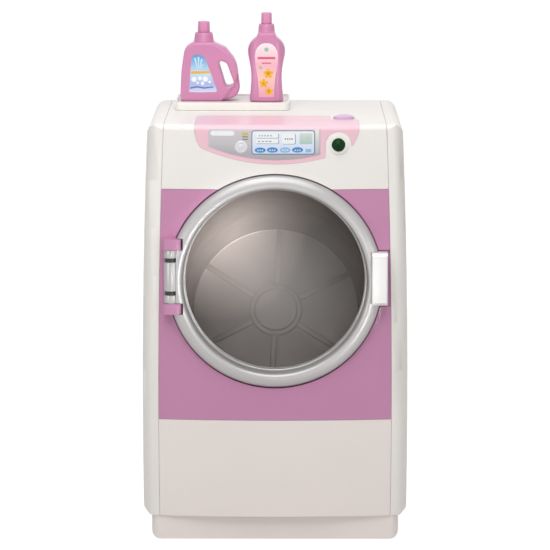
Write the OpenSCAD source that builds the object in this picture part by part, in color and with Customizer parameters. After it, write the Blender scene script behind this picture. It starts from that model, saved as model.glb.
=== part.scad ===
// Toy washing machine: front loader with a tilted, motor driven drum, a hinged
// porthole door, a push button and two toy bottles on a tray.
// Frame: millimetres, +Z up, front towards -Y, origin at the middle of the underside.

/* [Cabinet] */
// Depth from the foremost point of the front to the back
body_d = 239; // [232:1:260]
// Height of the plinth
plinth_h = 22.1; // [18:0.1:30]
// Height of the plain panel under the door panel
lower_panel_h = 90; // [86:0.5:120]
// Height of the coloured door panel
door_panel_h = 212; // [208:0.5:225]
// Height of the upper panel, which holds the controls
upper_panel_h = 58.5; // [57:0.5:75]
// Wall of the mouldings
wall = 2.4; // [1.8:0.1:3]
// Width of the front of each side shell, from the seam to the side
side_face = 15.1; // [14:0.1:24]
// Width of the door panel outside the door ring, on each side
panel_side = 9.1; // [8.5:0.1:20]
// Radius of the sides' bow, seen from the front
side_bow_r = 6200; // [5000:100:9000]
// Radius of the seams' bow, seen from the front
seam_bow_r = 6300; // [5500:100:9000]
// Level of the widest point of the cabinet
widest_z = 114; // [100:1:130]
// Radius of the front's bow, seen from above
front_bow_r = 820; // [700:10:1200]
// Radius of the top corners, seen from the front
top_corner_r = 10; // [8:0.5:20]
// Radius of the front corners, seen from above
front_corner_r = 14; // [10:0.5:14]
// Radius of the back corners, seen from above
back_corner_r = 8; // [5:0.5:12]
// Radius of the edge between front and top
top_edge_r = 5; // [4:0.5:7]
// Gap between neighbouring mouldings
seam_gap = 0.3; // [0.2:0.05:0.5]
// Width of the slanted lower edge of the side shells
shell_chamfer = 7; // [5:0.5:9]
// How far the plinth lies inside the cabinet's front and back
plinth_inset = 8; // [6:0.5:12]
// Radius of the plinth's corners and lower edges
plinth_r = 8; // [5:0.5:10]

/* [Door] */
// Outer radius of the door ring
door_r = 97.3; // [95:0.1:100]
// Width of the door ring
ring_width = 14.5; // [13:0.1:16]
// Height of the door's centre above the lower edge of the door panel
door_rise = 128.1; // [127:0.1:135]
// Radius of the rounded crest of the ring
ring_crest_r = 6; // [5:0.1:6.5]
// Gap round the ring in its recess
ring_gap = 1.1; // [1:0.1:1.5]
// Depth of the recess floor behind the foremost point of the front
recess_depth = 9; // [9:0.1:11]
// Gap between the door's inner parts and the door opening
opening_gap = 2; // [2:0.1:3]
// Thickness of the window
window_t = 2; // [1.5:0.1:3]
// Height of the window's dome
window_dome = 4; // [2:0.5:6]
// Largest opening angle
door_max = 115; // [90:1:120]

/* [Hinge and handle] */
// Radius of the hinge barrel
barrel_r = 6.15; // [5.5:0.05:6.3]
// Radius of the hinge pin
pin_r = 1.5; // [1.2:0.1:2]
// Running clearance of pins and shafts, on the radius
run_gap = 0.06; // [0.03:0.01:0.1]
// Distance of the hinge axis inside the ring's outer edge
hinge_inset = 2.8; // [1.8:0.1:3.3]
// Length of the barrel between the brackets
barrel_len = 49.4; // [44:0.1:56]
// Height of each bracket
bracket_h = 9.6; // [8:0.1:12]
// Length of the two collars of the barrel
collar_len = 7.2; // [5:0.1:8]
// Height of the two grooves in the barrel
groove_h = 4; // [3:0.1:5]
// Height of the handle
handle_h = 47.7; // [40:0.1:52]
// Width of the handle beyond the crest of the ring
handle_w = 14.8; // [13:0.1:15]
// How far the handle stands out in front of the cabinet
handle_out = 12; // [10:0.5:14]

/* [Drum] */
// Tilt of the drum's axis, down towards the back
drum_tilt = 20; // [17:0.5:20.5]
// Inner radius of the drum at its mouth
drum_mouth_r = 90; // [88:0.5:91]
// Inner radius of the drum at its back
drum_back_r = 79; // [76:0.5:82]
// Inner depth of the drum
drum_depth = 130; // [120:1:133]
// Wall of the drum and the tub
drum_wall = 2; // [1.6:0.1:2.4]
// Gap between drum and tub
drum_gap = 3; // [2.5:0.1:4]
// Depth of the drum mouth's centre behind the foremost point of the front
mouth_depth = 48; // [48:0.5:54]
// How far the drum mouth's centre lies below the door's centre
mouth_drop = 8.5; // [7.5:0.1:10]
// Number of ribs on the drum's back
drum_ribs = 6; // [4:1:8]
// Width of those ribs
rib_w = 5; // [3:0.5:7]
// Height of the ribs and the hub ring
rib_h = 1; // [0.6:0.1:1.6]
// Outer radius of the hub ring
hub_r = 25; // [22:0.5:30]

/* [Drive] */
// Module of the drum gear and the small idler gear
coarse_module = 1.5; // [1.4:0.05:1.6]
// Module of the large idler gear and the motor pinion
fine_module = 1; // [0.9:0.05:1.1]
// Teeth of the drum gear
drum_teeth = 48; // [44:4:52]
// Teeth of the small idler gear
idler_small_teeth = 12; // [12:1:14]
// Teeth of the large idler gear
idler_large_teeth = 40; // [36:2:44]
// Teeth of the motor pinion
pinion_teeth = 10; // [10:1:12]
// Width of the drum gear
gear_w = 6; // [5:0.5:8]
// Radius of the drum shaft
shaft_r = 3; // [2.5:0.1:4]
// Radius of the idler's axle
axle_r = 1.5; // [1.2:0.1:2]
// Radius of the motor
motor_r = 12; // [10:0.5:14]
// Length of the motor
motor_len = 28; // [22:1:30]

/* [Controls] */
// Thickness of the coloured control panel
control_t = 1; // [0.8:0.1:1.2]
// Radius of the indicator lens
lens_r = 6; // [5:0.1:7]
// Radius of the start button
button_r = 9.6; // [8:0.1:11]
// Travel of the start button
button_travel = 2; // [1.5:0.1:2.5]
// How far the button stands out of the top
button_out = 4; // [3.5:0.1:5]
// Thickness of the circuit board
board_t = 1.6; // [1:0.1:2]

/* [Tray and bottles] */
// Width of the tray
tray_w = 107.7; // [104:0.1:116]
// Depth of the tray
tray_d = 88.7; // [60:0.1:92]
// Height of the tray's rim above the top
tray_h = 7.4; // [6:0.1:10]
// Depth of the tray's floor below its rim
tray_floor = 1.5; // [1:0.1:3]
// Width of the detergent bottle with its handle
jug_w = 56.5; // [52:0.5:60]
// Height of the detergent bottle's body and neck
jug_h = 64.6; // [60:0.1:72]
// Thickness of the detergent bottle
jug_d = 27; // [22:0.5:32]
// Width of the softener bottle
soft_w = 35.4; // [32:0.1:40]
// Height of the softener bottle's body and neck
soft_h = 73.2; // [70:0.1:82]
// Thickness of the softener bottle
soft_d = 26; // [22:0.5:30]

/* [Batteries] */
// Number of AA cells
cell_count = 4; // [2:1:5]
// Radius of a cell
cell_r = 7.1; // [6.5:0.1:7.5]
// Length of a cell without its cap
cell_len = 48.5; // [44:0.5:50]

/* [Hidden] */

$fn = 64;
big_fn = 256;                       // segments of the very large arcs
seat = 0.2;                         // gap between a fixed piece and its seat
far = 400;                          // longer than any cut needs to be

// Cabinet
body_w = 2 * (door_r + panel_side + side_face);
seam_x = door_r + panel_side;
front_y = -body_d / 2;
back_y = body_d / 2;
panel_z = plinth_h + lower_panel_h;
upper_z = panel_z + door_panel_h;
body_h = upper_z + upper_panel_h;
side_axis_x = body_w / 2 - side_bow_r;
seam_axis_x = seam_x - seam_bow_r;
side_front_y = front_y + bow(seam_x) + 0.3;
crease = 0.03;                      // lets tangent surfaces cross instead of touch
corner_z = body_h - top_corner_r + crease;
corner_x = side_axis_x + sqrt(side_bow_r * side_bow_r - (corner_z - widest_z) * (corner_z - widest_z))
    - top_corner_r + crease;
lip_w = 3.5;                        // lip of the side shells behind the centre panels
plinth_half = body_w / 2 - shell_chamfer - 1.2;

// Door
door_z = panel_z + door_rise;
door_inner_r = door_r - ring_width;
recess_r = door_r + ring_gap;
plug_r = door_inner_r + 3.2;        // what reaches back through the opening
opening_r = plug_r + opening_gap;
crest_r = door_r - ring_crest_r;
inner_lip_depth = 12;
window_front = inner_lip_depth + 1;
retainer_t = 2;
ring_back = recess_depth - 0.6;
ring_wall = 2.1;
hollow_half = ring_crest_r - ring_wall + 0.1;
latch_x = crest_r + 0.6;
latch_hook_t = 2.4;
hinge_x = -(door_r - hinge_inset);
bracket_gap = 0.4;
bracket_low_z = door_z + 4.95 - barrel_len / 2;
bracket_top_z = bracket_low_z + barrel_len;
handle_z = door_z + 3.45;
handle_x = crest_r - 3.3;
handle_end = handle_x + handle_w;
pocket_floor = recess_depth;
latch_w = 9;
panel_to_ring = 1;                  // clearance of the display plate round the ring's recess

// Drum, in a frame along its axis: z runs to the back, -y up
mouth_y = front_y + mouth_depth;
mouth_z = door_z - mouth_drop;
tub_back = drum_depth + drum_wall + 5;
tub_wall_end = tub_back + 2.5;
bush_r = shaft_r + 2;
gear_start = tub_wall_end + 4;
large_start = gear_start + gear_w + 1.8;
large_w = 4;
plate_start = large_start + large_w + 3;
plate_t = 2.5;
coarse_distance = coarse_module * (drum_teeth + idler_small_teeth) / 2;
fine_distance = fine_module * (idler_large_teeth + pinion_teeth) / 2;
motor_y = coarse_distance + fine_distance;
backlash = 0.2;                     // share of the module
tip_share = 0.85;                   // height of a tooth over the pitch circle, in modules
post_r = 3.4;
post_gap = 1.4;                     // clearance of the plate's posts round the gears
upper_post = coarse_module * (drum_teeth / 2 + tip_share) + post_r + post_gap;
lower_post = fine_module * (idler_large_teeth / 2 + tip_share) + post_r + post_gap;
post_places = [for (side = [-1, 1], low = [0, 1]) low == 1
    ? [side * lower_post * cos(14), coarse_distance + lower_post * sin(14)]
    : [side * upper_post * cos(22), upper_post * sin(22)]];

// Controls
button_x = 62.9;
button_depth = 62;
lens_x = 57.3;
lens_drop = 17.8;
bezel_r = lens_r + 5.9;
board_z = body_h - 33;
board_from = [18, 16];
board_size = [66, 62];
switch_h = 4.3;
stem_end = board_z + board_t + switch_h + button_travel + 0.3;
guide_r = button_r + 2.4;
guide_depth = 15;
button_roof = 3.2;                  // thickness of the button's middle

// Bottles and tray
tray_x = -0.3897 * body_w;
tray_y = front_y + 0.5636 * body_d;
deck_z = body_h + tray_h - tray_floor;
peg_r = 3.1;
jug_x = tray_x + 0.0371 * tray_w;
jug_neck_x = jug_w * 0.395;
jug_y = tray_y + 0.4735 * tray_d;
soft_x = tray_x + 0.6332 * tray_w;
soft_y = tray_y + 0.3833 * tray_d;

// Batteries
battery_box_z = plinth_h + 12;
battery_inner = [cell_count * (2 * cell_r + 1) + 1, 2 * cell_r + 1.6, cell_len + 7];
cover_half = battery_inner[0] / 2 + 2;
cover_low = battery_box_z - 2;
cover_high = battery_box_z + battery_inner[2] + 6.5;
cover_screw_z = cover_high - 3.3;

white = "#f2efea";
side_white = "#e4e1dc";
mauve = "#c386b0";
pale_pink = "#f0c8d7";
silver = "#c9cbcd";
drum_grey = "#9a9591";
bottle_pink = "#d585b0";
steel = "#b9bcc0";

// ---------- shared shapes ----------

// Depth of the bowed front behind its foremost point
function bow(x) = front_bow_r - sqrt(front_bow_r * front_bow_r - x * x);

// Extrudes a front view, drawn in x and z, between two depths
module along_y(from, to) {
    translate([0, to, 0]) rotate([90, 0, 0]) linear_extrude(to - from) children();
}

// Places a shape that is drawn along z so that it runs to the back
module facing_back(x, depth, z) {
    translate([x, front_y + depth, z]) rotate([-90, 0, 0]) children();
}

module box_between(low, high) {
    translate(low) cube(high - low);
}

// Everything behind the bowed front and under the rounded front top edge
module bow_solid(inset = 0) {
    inner = front_bow_r - body_d - 15;
    half_angle = asin((body_w / 2 + 5) / inner);
    edge = max(top_edge_r - inset, 0.6);
    outer = front_bow_r - inset;
    top = body_h - inset;
    translate([0, front_y + front_bow_r, 0]) rotate([0, 0, -90 - half_angle])
        rotate_extrude(angle = 2 * half_angle, $fn = big_fn) union() {
            translate([inner, 0]) square([outer - inner, top - edge]);
            translate([inner, 0]) square([outer - inner - edge, top]);
            translate([outer - edge, top - edge]) circle(edge);
        }
}

// Front view that cuts the round top corners and the slanted lower edges
module corner_cut(inset = 0) {
    half = body_w / 2 + 5;
    low_x = body_w / 2 - shell_chamfer - inset;
    slant = shell_chamfer + 8;
    difference() {
        union() {
            translate([-half, plinth_h - 1]) square([2 * half, corner_z + 1 - plinth_h]);
            translate([-corner_x, corner_z - 1]) square([2 * corner_x, top_corner_r + 5]);
            for (side = [-1, 1]) translate([side * corner_x, corner_z])
                circle(top_corner_r - inset);
        }
        for (side = [-1, 1]) mirror([(side + 1) / 2, 0])
            polygon([[-low_x, plinth_h - 2], [-low_x, plinth_h], [-low_x - slant, plinth_h + slant],
                [-low_x - slant, plinth_h - 2]]);
    }
}

// Side view that cuts the edge between front and top
module top_edge_cut(inset = 0) {
    edge = max(top_edge_r - inset, 0.6);
    front_v = side_front_y + inset - crease;
    top = body_h - inset;
    translate([-body_w, 0, 0]) rotate([90, 0, 90]) linear_extrude(2 * body_w) union() {
        translate([front_v, 0]) square([body_d + 5, top - edge]);
        translate([front_v + edge, 0]) square([body_d, top]);
        translate([front_v + edge, top - edge]) circle(edge);
    }
}

// Sweep of the shells' plan corners along the bowed side
module side_sweep(inset = 0) {
    front_v = side_front_y + inset;
    back_v = back_y - inset;
    outer = side_bow_r - inset;
    inner = side_bow_r - body_w / 2 - 5;
    front_r = front_corner_r - inset;
    back_r = back_corner_r - inset;
    down = asin(widest_z / inner);
    up = asin((body_h - widest_z + 20) / inner);
    translate([side_axis_x, 0, widest_z]) rotate([90, 0, 0]) rotate([0, 0, -down])
        rotate_extrude(angle = down + up, $fn = big_fn) mirror([0, 1]) union() {
            translate([inner, front_v]) square([outer - inner - front_r, back_v - front_v]);
            translate([inner, front_v + front_r])
                square([outer - inner, back_v - front_v - front_r - back_r]);
            translate([inner, back_v - back_r - 1]) square([outer - inner - back_r, back_r + 1]);
            translate([outer - front_r, front_v + front_r]) circle(front_r);
            translate([outer - back_r, back_v - back_r]) circle(back_r);
        }
}

// Front view of what lies between the two seams, from one level to another
module centre_band(from_z, to_z) {
    intersection() {
        translate([seam_axis_x, widest_z]) circle(seam_bow_r - seam_gap / 2, $fn = big_fn);
        translate([-seam_axis_x, widest_z]) circle(seam_bow_r - seam_gap / 2, $fn = big_fn);
        translate([-far / 2, from_z]) square([far, to_z - from_z]);
    }
}

// Bowed skin between the seams: the front, and the top where the band reaches it
module centre_skin(from_z, to_z, to_y) {
    intersection() {
        difference() {
            bow_solid();
            bow_solid(wall);
        }
        along_y(front_y - 1, to_y) centre_band(from_z, to_z);
    }
}

module screw(length, head_r = 2.6, r = 1.3) {
    cylinder(h = length, r = r, $fn = 24);
    translate([0, 0, -1.8]) difference() {
        cylinder(h = 1.8, r = head_r, $fn = 24);
        for (turn = [0, 90]) rotate([0, 0, turn])
            translate([-head_r * 0.6, -0.35, -1]) cube([head_r * 1.2, 0.7, 1.9]);
    }
}

module boss(length, r = 4, bore = 1.35) {
    difference() {
        cylinder(h = length, r = r, $fn = 32);
        translate([0, 0, -1]) cylinder(h = length + 2, r = bore, $fn = 24);
    }
}

// ---------- cabinet ----------

back_boss_len = 22;
back_screw_z = [plinth_h + 20, (plinth_h + body_h) / 2, body_h - 30];
back_boss_x = seam_x - 11;
back_boss_y = back_y - wall - seat - back_boss_len;

module handle_pocket_cut(grow = 0) {
    box_between([recess_r - 12, front_y - 1, handle_z - handle_h / 2 - 3.5 - grow],
        [seam_x + 0.2 + grow, front_y + pocket_floor + grow, handle_z + handle_h / 2 + 1 + grow]);
}

// Front view of what lies outside the right hand seam
module side_zone(inset = 0, low = plinth_h + seat) {
    difference() {
        translate([seam_x - 20, low]) square([far, body_h]);
        translate([seam_axis_x, widest_z]) circle(seam_bow_r + seam_gap / 2 - inset, $fn = big_fn);
    }
}

// Right hand half of the cabinet's outer form, without the bow of the front
module side_form(inset = 0) {
    intersection() {
        side_sweep(inset);
        along_y(front_y, back_y + 1) corner_cut(inset);
        top_edge_cut(inset);
    }
}

// Right hand shell: wraps from the front seam over the side and the top to the back seam
module side_shell() {
    difference() {
        intersection() {
            side_form();
            along_y(front_y - 1, back_y + 2) side_zone();
        }
        side_form(wall);
    }
    difference() {
        union() {
            side_lip(lip_w, wall + seat);
            side_lip(-seam_gap, wall - 0.3);
        }
        handle_pocket_cut(wall + 2 * seat);
        ring_cup_space();
    }
    for (z = back_screw_z) back_boss(z);
}

// Strip behind the seam, on which the centre panels lie
module side_lip(inward, start) {
    intersection() {
        difference() {
            bow_solid(start);
            bow_solid(2 * wall + seat);
        }
        along_y(front_y, front_y + 16) difference() {
            side_zone(inward, plinth_h + wall + 2 * seat);
            side_zone(-2.5);
            translate([0, body_h - top_corner_r]) square(far);
        }
    }
}

// Room that the side lips leave for the cup round the door ring
module ring_cup_space() {
    facing_back(0, 0, door_z) cylinder(h = 30, r = recess_r + wall + seat);
}

// Screw boss with the web that joins it to the side
module back_boss(z) {
    translate([back_boss_x, back_boss_y, z]) rotate([-90, 0, 0]) boss(back_boss_len);
    intersection() {
        box_between([back_boss_x + 3.5, back_boss_y, z - 1],
            [body_w / 2, back_y - wall - back_corner_r, z + 1]);
        side_form(wall - 0.5);
    }
}

module side_shell_right() { color(side_white) side_shell(); }
module side_shell_left() { color(side_white) mirror([1, 0, 0]) side_shell(); }

module lower_front_panel() {
    color(white) centre_skin(plinth_h + seat, panel_z - seam_gap / 2, front_y + 16);
}

// Coloured panel with the cup for the door, the hinge brackets and the latch slot
module door_panel() {
    low = panel_z + seam_gap / 2;
    top = upper_z - seam_gap / 2;
    color(mauve) union() {
        difference() {
            union() {
                centre_skin(low, top, front_y + 16);
                intersection() {
                    cup_solid();
                    bow_solid(wall + seat);
                }
                intersection() {
                    cup_solid();
                    bow_solid(wall / 2);
                    box_between([-far, -far, low], [far, far, top]);
                }
                intersection() {
                    handle_pocket_cut(wall);
                    bow_solid(wall / 2);
                    along_y(front_y - 1, front_y + 40) centre_band(low, top);
                }
            }
            facing_back(0, -20, door_z) cylinder(h = recess_depth + 20, r = recess_r);
            facing_back(0, 0, door_z) cylinder(h = 40, r = opening_r);
            handle_pocket_cut();
            hinge_space();
            latch_slot();
        }
        difference() {
            bracket_blocks();
            hinge_axis_bore(pin_r + 0.02);
        }
    }
}

// Cup behind the door ring: side wall and floor
module cup_solid() {
    facing_back(0, 0, door_z) cylinder(h = recess_depth + wall, r = recess_r + wall);
}

module bracket_plan() {
    // seen from above, round the hinge axis
    right = 9.6;
    left = -7;
    round = 4;
    front = -7;
    skin = bow(hinge_x) + wall - 0.2;       // stays in the panel's own wall beside the recess
    union() {
        translate([left, front + round]) square([right - left, skin - front - round]);
        translate([left + 2, front + round])
            square([right - left - 2, recess_depth + 1 - front - round]);
        translate([left + round, front]) square([right - left - 2 * round, recess_depth - front]);
        for (x = [left + round, right - round]) translate([x, front + round]) circle(round, $fn = 32);
    }
}

module bracket_blocks() {
    for (z = [bracket_low_z - bracket_h, bracket_top_z])
        translate([hinge_x, front_y, z]) linear_extrude(bracket_h) bracket_plan();
}

module hinge_axis_bore(r) {
    translate([hinge_x, front_y, bracket_low_z - bracket_h + 1.5])
        cylinder(h = barrel_len + 2 * bracket_h - 3, r = r, $fn = 32);
}

// Room in the panel for the turning barrel
module hinge_space() {
    translate([hinge_x, front_y, bracket_low_z])
        cylinder(h = barrel_len, r = barrel_r + 0.9);
}

module latch_slot() {
    box_between([latch_x - 2, front_y, handle_z - latch_w / 2 - 1.5],
        [latch_x + latch_hook_t + 2.5, front_y + 30, handle_z + latch_w / 2 + 1.5]);
}

// Upper front and top in one moulding
module top_cover() {
    color(white) difference() {
        union() {
            centre_skin(upper_z + seam_gap / 2, body_h + 1, back_y - wall - seam_gap);
            translate([button_x, front_y + button_depth, body_h - guide_depth])
                cylinder(h = guide_depth - wall / 2, r = guide_r + 1.6);
            board_corners(board_z + board_t + seat)
                cylinder(h = body_h - wall / 2 - board_z - board_t - seat, r = 3, $fn = 32);
            facing_back(lens_x, 1, body_h - lens_drop) cylinder(h = 9, r = lens_r + 2.4);
        }
        facing_back(0, -20, door_z) cylinder(h = 60, r = recess_r);
        intersection() {
            control_zone(0.2);
            difference() {
                bow_solid(-1);
                bow_solid(control_t + 0.1);
            }
        }
        translate([button_x, front_y + button_depth, 0]) {
            translate([0, 0, body_h - wall - 1]) cylinder(h = wall + 2, r = button_r + 0.25);
            translate([0, 0, body_h - guide_depth + 1.6])
                cylinder(h = guide_depth - 1.6 - wall, r = guide_r);
            translate([0, 0, body_h - guide_depth - 1]) cylinder(h = 4, r = 2.6);
        }
        facing_back(lens_x, -5, body_h - lens_drop) cylinder(h = 30, r = lens_r + 0.15);
        board_corners(board_z) cylinder(h = 14, r = 1.05, $fn = 24);
        tray_pegs(body_h - wall - 1) cylinder(h = wall + 2, r = peg_r + 0.1);
    }
}

// Outline of the control panel on the front, seen from the front
module control_front(grow = 0) {
    low_r = 168 + grow;
    low_z = body_h - 35.2 + 168;
    end_r = 24 + grow;
    right_r = 27 + grow;
    difference() {
        union() {
            intersection() {
                translate([1.5, low_z]) circle(low_r, $fn = 200);
                union() {
                    translate([-48.4, body_h - 40]) square([48.4 + lens_x - bezel_r + grow, 45]);
                    translate([-48.4, body_h - 5.5]) circle(end_r);
                }
                translate([-100, body_h - 40]) square([100 + lens_x - bezel_r + grow, 45]);
            }
            intersection() {
                translate([49, body_h - 1.5]) circle(right_r);
                translate([40, body_h - lens_drop - 0.9 - grow]) square(40);
            }
            translate([-48.4 - end_r, body_h - 5.5]) square([48.4 + end_r + 49 + right_r, 12]);
        }
        translate([lens_x, body_h - lens_drop]) circle(bezel_r - grow);
    }
}

// Outline of the control panel on the top, seen from above
module control_top(grow = 0) {
    left = -72.4 - grow;
    right = 76 + grow;
    back = front_y + 88.6 + grow;
    button_y = front_y + button_depth;
    difference() {
        union() {
            translate([left, front_y]) square([right - left, button_depth - 10]);
            translate([left, front_y]) square([button_x - 12 - left, button_depth + 18]);
            translate([left + 8, front_y]) square([button_x - 20 - left, button_depth + 26.6 + grow]);
            translate([left + 8, back - 8]) circle(8);
            translate([button_x - 20, back - 8]) circle(8);
            translate([button_x, button_y]) circle(button_r + 3.2);
        }
        translate([button_x - 12, button_y]) square([far, far]);
        translate([button_x, button_y]) circle(button_r + 0.8 - grow);
    }
}

module control_zone(grow = 0) {
    edge_y = front_y + top_edge_r + 5;
    along_y(front_y - 5, edge_y) control_front(grow);
    intersection() {
        translate([0, 0, body_h - 4]) linear_extrude(8) control_top(grow);
        box_between([-far, edge_y - 0.01, 0], [far, far, far + 100]);
    }
}

module control_panel() {
    color(pale_pink) intersection() {
        control_zone();
        difference() {
            bow_solid();
            bow_solid(control_t);
        }
    }
}

module display_plate() {
    color(silver) intersection() {
        difference() {
            bow_solid(-0.35);
            bow_solid(-0.05);
        }
        along_y(front_y - 5, front_y + 12) difference() {
            intersection() {
                translate([1.5, body_h - 35.2 + 168]) circle(164, $fn = 200);
                translate([-59.8, body_h - 34]) square([100.6, 30.9]);
            }
            translate([0, door_z]) circle(recess_r + panel_to_ring);
        }
    }
}

module indicator_lens() {
    color("#1f5a30") facing_back(lens_x, bow(lens_x), body_h - lens_drop) difference() {
        union() {
            intersection() {
                translate([0, 0, 0.8]) sphere(lens_r);
                translate([0, 0, -far]) cylinder(h = far + 0.8, r = lens_r);
            }
            translate([0, 0, 0.8]) cylinder(h = wall + 6, r = lens_r);
        }
        translate([0, 0, 1.4]) cylinder(h = wall + 7, r = lens_r - 1.2);
        translate([0, 0, 1.4]) sphere(lens_r - 1.2);
    }
}

module indicator_led() {
    led_y = bow(lens_x) + 3;
    level = body_h - lens_drop;
    color("#d8efd8") union() {
        facing_back(lens_x, led_y, level) {
            translate([0, 0, 2.5]) cylinder(h = 6, r = 2.5, $fn = 32);
            translate([0, 0, 2.5]) sphere(2.5, $fn = 32);
            translate([0, 0, 8]) cylinder(h = 1, r = 3, $fn = 32);
        }
        for (x = [-1.27, 1.27]) {
            box_between([lens_x + x - 0.3, front_y + led_y + 8.5, level - 0.3],
                [lens_x + x + 0.3, front_y + board_from[1] + 6.6, level + 0.3]);
            box_between([lens_x + x - 0.3, front_y + board_from[1] + 6, board_z + board_t + 0.02],
                [lens_x + x + 0.3, front_y + board_from[1] + 6.6, level + 0.3]);
        }
    }
}

// Repeats its children at the four corners of the circuit board
module board_corners(z) {
    for (x = [4, board_size[0] - 4], y = [4, board_size[1] - 4])
        translate([board_from[0] + x, front_y + board_from[1] + y, z]) children();
}

// Repeats its children at the tray's two pegs
module tray_pegs(z) {
    for (x = [0.25, 0.75]) translate([tray_x + x * tray_w, tray_y + tray_d / 2, z]) children();
}

module circuit_board() {
    color("#3c7a4a") difference() {
        union() {
            translate([board_from[0], front_y + board_from[1], board_z])
                cube([board_size[0], board_size[1], board_t]);
            translate([board_from[0] + 12, front_y + board_from[1] + 24, board_z + board_t - 0.1])
                cube([16, 8, 3.1]);
            for (x = [10, 20, 30]) translate([board_from[0] + x, front_y + board_from[1] + 48,
                board_z + board_t - 0.1]) cylinder(h = 7, r = 2.5, $fn = 32);
        }
        board_corners(board_z - 1) cylinder(h = 4, r = 1.5, $fn = 24);
    }
}

module button_switch() {
    color("#3a3a3c") translate([button_x, front_y + button_depth, board_z + board_t + 0.05]) {
        translate([-3, -3, 0]) cube([6, 6, 3.4]);
        cylinder(h = switch_h - 0.05, r = 1.7, $fn = 32);
    }
}

module board_screws() {
    color(steel) board_corners(board_z - 0.1) screw(11, 2.6, 1);
}

module back_panel() {
    color(white) difference() {
        along_y(back_y - wall, back_y) centre_band(plinth_h + seat, body_h - 0.01);
        box_between([-cover_half, back_y - 5, cover_low], [cover_half, back_y + 1, cover_high]);
        for (side = [-1, 1], z = back_screw_z)
            translate([side * back_boss_x, back_y + 1, z]) rotate([90, 0, 0])
                cylinder(h = 8, r = 1.5, $fn = 24);
    }
}

module back_panel_screws() {
    color(steel) for (side = [-1, 1], z = back_screw_z)
        translate([side * back_boss_x, back_y + 0.05, z]) rotate([90, 0, 0]) screw(16, 3, 1.3);
}

module plinth_outline(inset = 0, top = plinth_h) {
    half = plinth_half - inset;
    r = plinth_r - inset;
    union() {
        translate([-half, r]) square([2 * half, top - r]);
        translate([-half + r, 0]) square([2 * (half - r), top]);
        for (side = [-1, 1]) translate([side * (half - r), r]) circle(r);
    }
}

module plinth_plan(inset = 0) {
    half = plinth_half - inset;
    r = plinth_r - inset;
    low = front_y + plinth_inset + inset;
    high = back_y - plinth_inset - inset;
    union() {
        translate([-half, low + r]) square([2 * half, high - low - 2 * r]);
        translate([-half + r, low]) square([2 * (half - r), high - low]);
        for (x = [-half + r, half - r], y = [low + r, high - r]) translate([x, y]) circle(r);
    }
}

module plinth() {
    color(white) difference() {
        union() {
            intersection() {
                along_y(front_y, back_y) plinth_outline();
                linear_extrude(plinth_h) plinth_plan();
            }
            plinth_rim();
            plinth_flange();
            mirror([1, 0, 0]) plinth_flange();
        }
        intersection() {
            translate([0, 0, wall]) along_y(front_y, back_y) plinth_outline(wall, plinth_h + wall);
            translate([0, 0, wall]) linear_extrude(plinth_h + wall) plinth_plan(wall);
        }
    }
}

// Rim of the plinth that fits inside the lower edge of the cabinet
module plinth_flange() {
    inset = wall + seat;
    low = plinth_h - 0.5;
    high = plinth_h + wall;
    intersection() {
        side_sweep(inset);
        along_y(front_y, back_y + 1) corner_cut(inset);
        box_between([seam_x - 3, front_y, low], [far, back_y, high]);
    }
}

module plinth_rim() {
    inset = wall + seat;
    intersection() {
        bow_solid(inset);
        box_between([1 - seam_x, front_y, plinth_h - 0.5],
            [seam_x - 1, back_y - inset - 0.5, plinth_h + wall]);
    }
}

// ---------- door ----------

// Section of the door ring: radius across, depth behind the front upwards
module ring_section(grow = 0) {
    reach = [door_inner_r - crest_r, inner_lip_depth - 1];
    touch = atan2(reach[1], reach[0]) + acos(ring_crest_r / norm(reach));
    union() {
        translate([crest_r, 1]) circle(ring_crest_r + grow);
        polygon([[crest_r + ring_crest_r * cos(touch), 1 + ring_crest_r * sin(touch)],
            [door_inner_r, inner_lip_depth], [door_inner_r, inner_lip_depth + 0.8],
            [plug_r, inner_lip_depth + 0.8], [plug_r, ring_back],
            [door_r + grow, ring_back - 2], [door_r + grow, 1], [crest_r, 1]]);
    }
}

module ring_revolve() {
    facing_back(0, 0, door_z) rotate_extrude($fn = 200) children();
}

module door_ring() {
    barrel_low = bracket_low_z + bracket_gap;
    barrel_high = bracket_top_z - bracket_gap;
    color(silver) difference() {
        union() {
            difference() {
                ring_revolve() difference() {
                    ring_section();
                    translate([crest_r, 1]) circle(ring_crest_r - ring_wall);
                    translate([crest_r - hollow_half, 0.8])
                        square([2 * hollow_half, ring_back + 5]);
                }
                for (z = [bracket_low_z - bracket_h, bracket_top_z])
                    box_between([-far, front_y - 20, z - bracket_gap],
                        [hinge_x + 11.2, front_y + 30, z + bracket_h + bracket_gap]);
            }
            translate([hinge_x, front_y, barrel_low])
                cylinder(h = barrel_high - barrel_low, r = barrel_r);
            box_between([hinge_x, front_y - 1.5, barrel_low],
                [hinge_x + 9.2, front_y + 4, barrel_high]);
        }
        for (z = [barrel_low + collar_len, barrel_high - collar_len - groove_h])
            translate([hinge_x, front_y, z]) difference() {
                translate([-barrel_r - 1, -12, 0]) cube([2 * barrel_r + 1.6, 24, groove_h]);
                translate([0, 0, -1]) cylinder(h = groove_h + 2, r = pin_r + 1.3);
            }
        hinge_axis_bore(pin_r + run_gap);
        for (a = [30 : 60 : 330]) ring_screw_place(a, inner_lip_depth - 4)
            cylinder(h = 8, r = 0.7, $fn = 24);
    }
}

module ring_screw_place(angle, depth) {
    facing_back(0, depth, door_z) rotate([0, 0, angle])
        translate([(door_inner_r + plug_r) / 2, 0, 0]) children();
}

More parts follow.
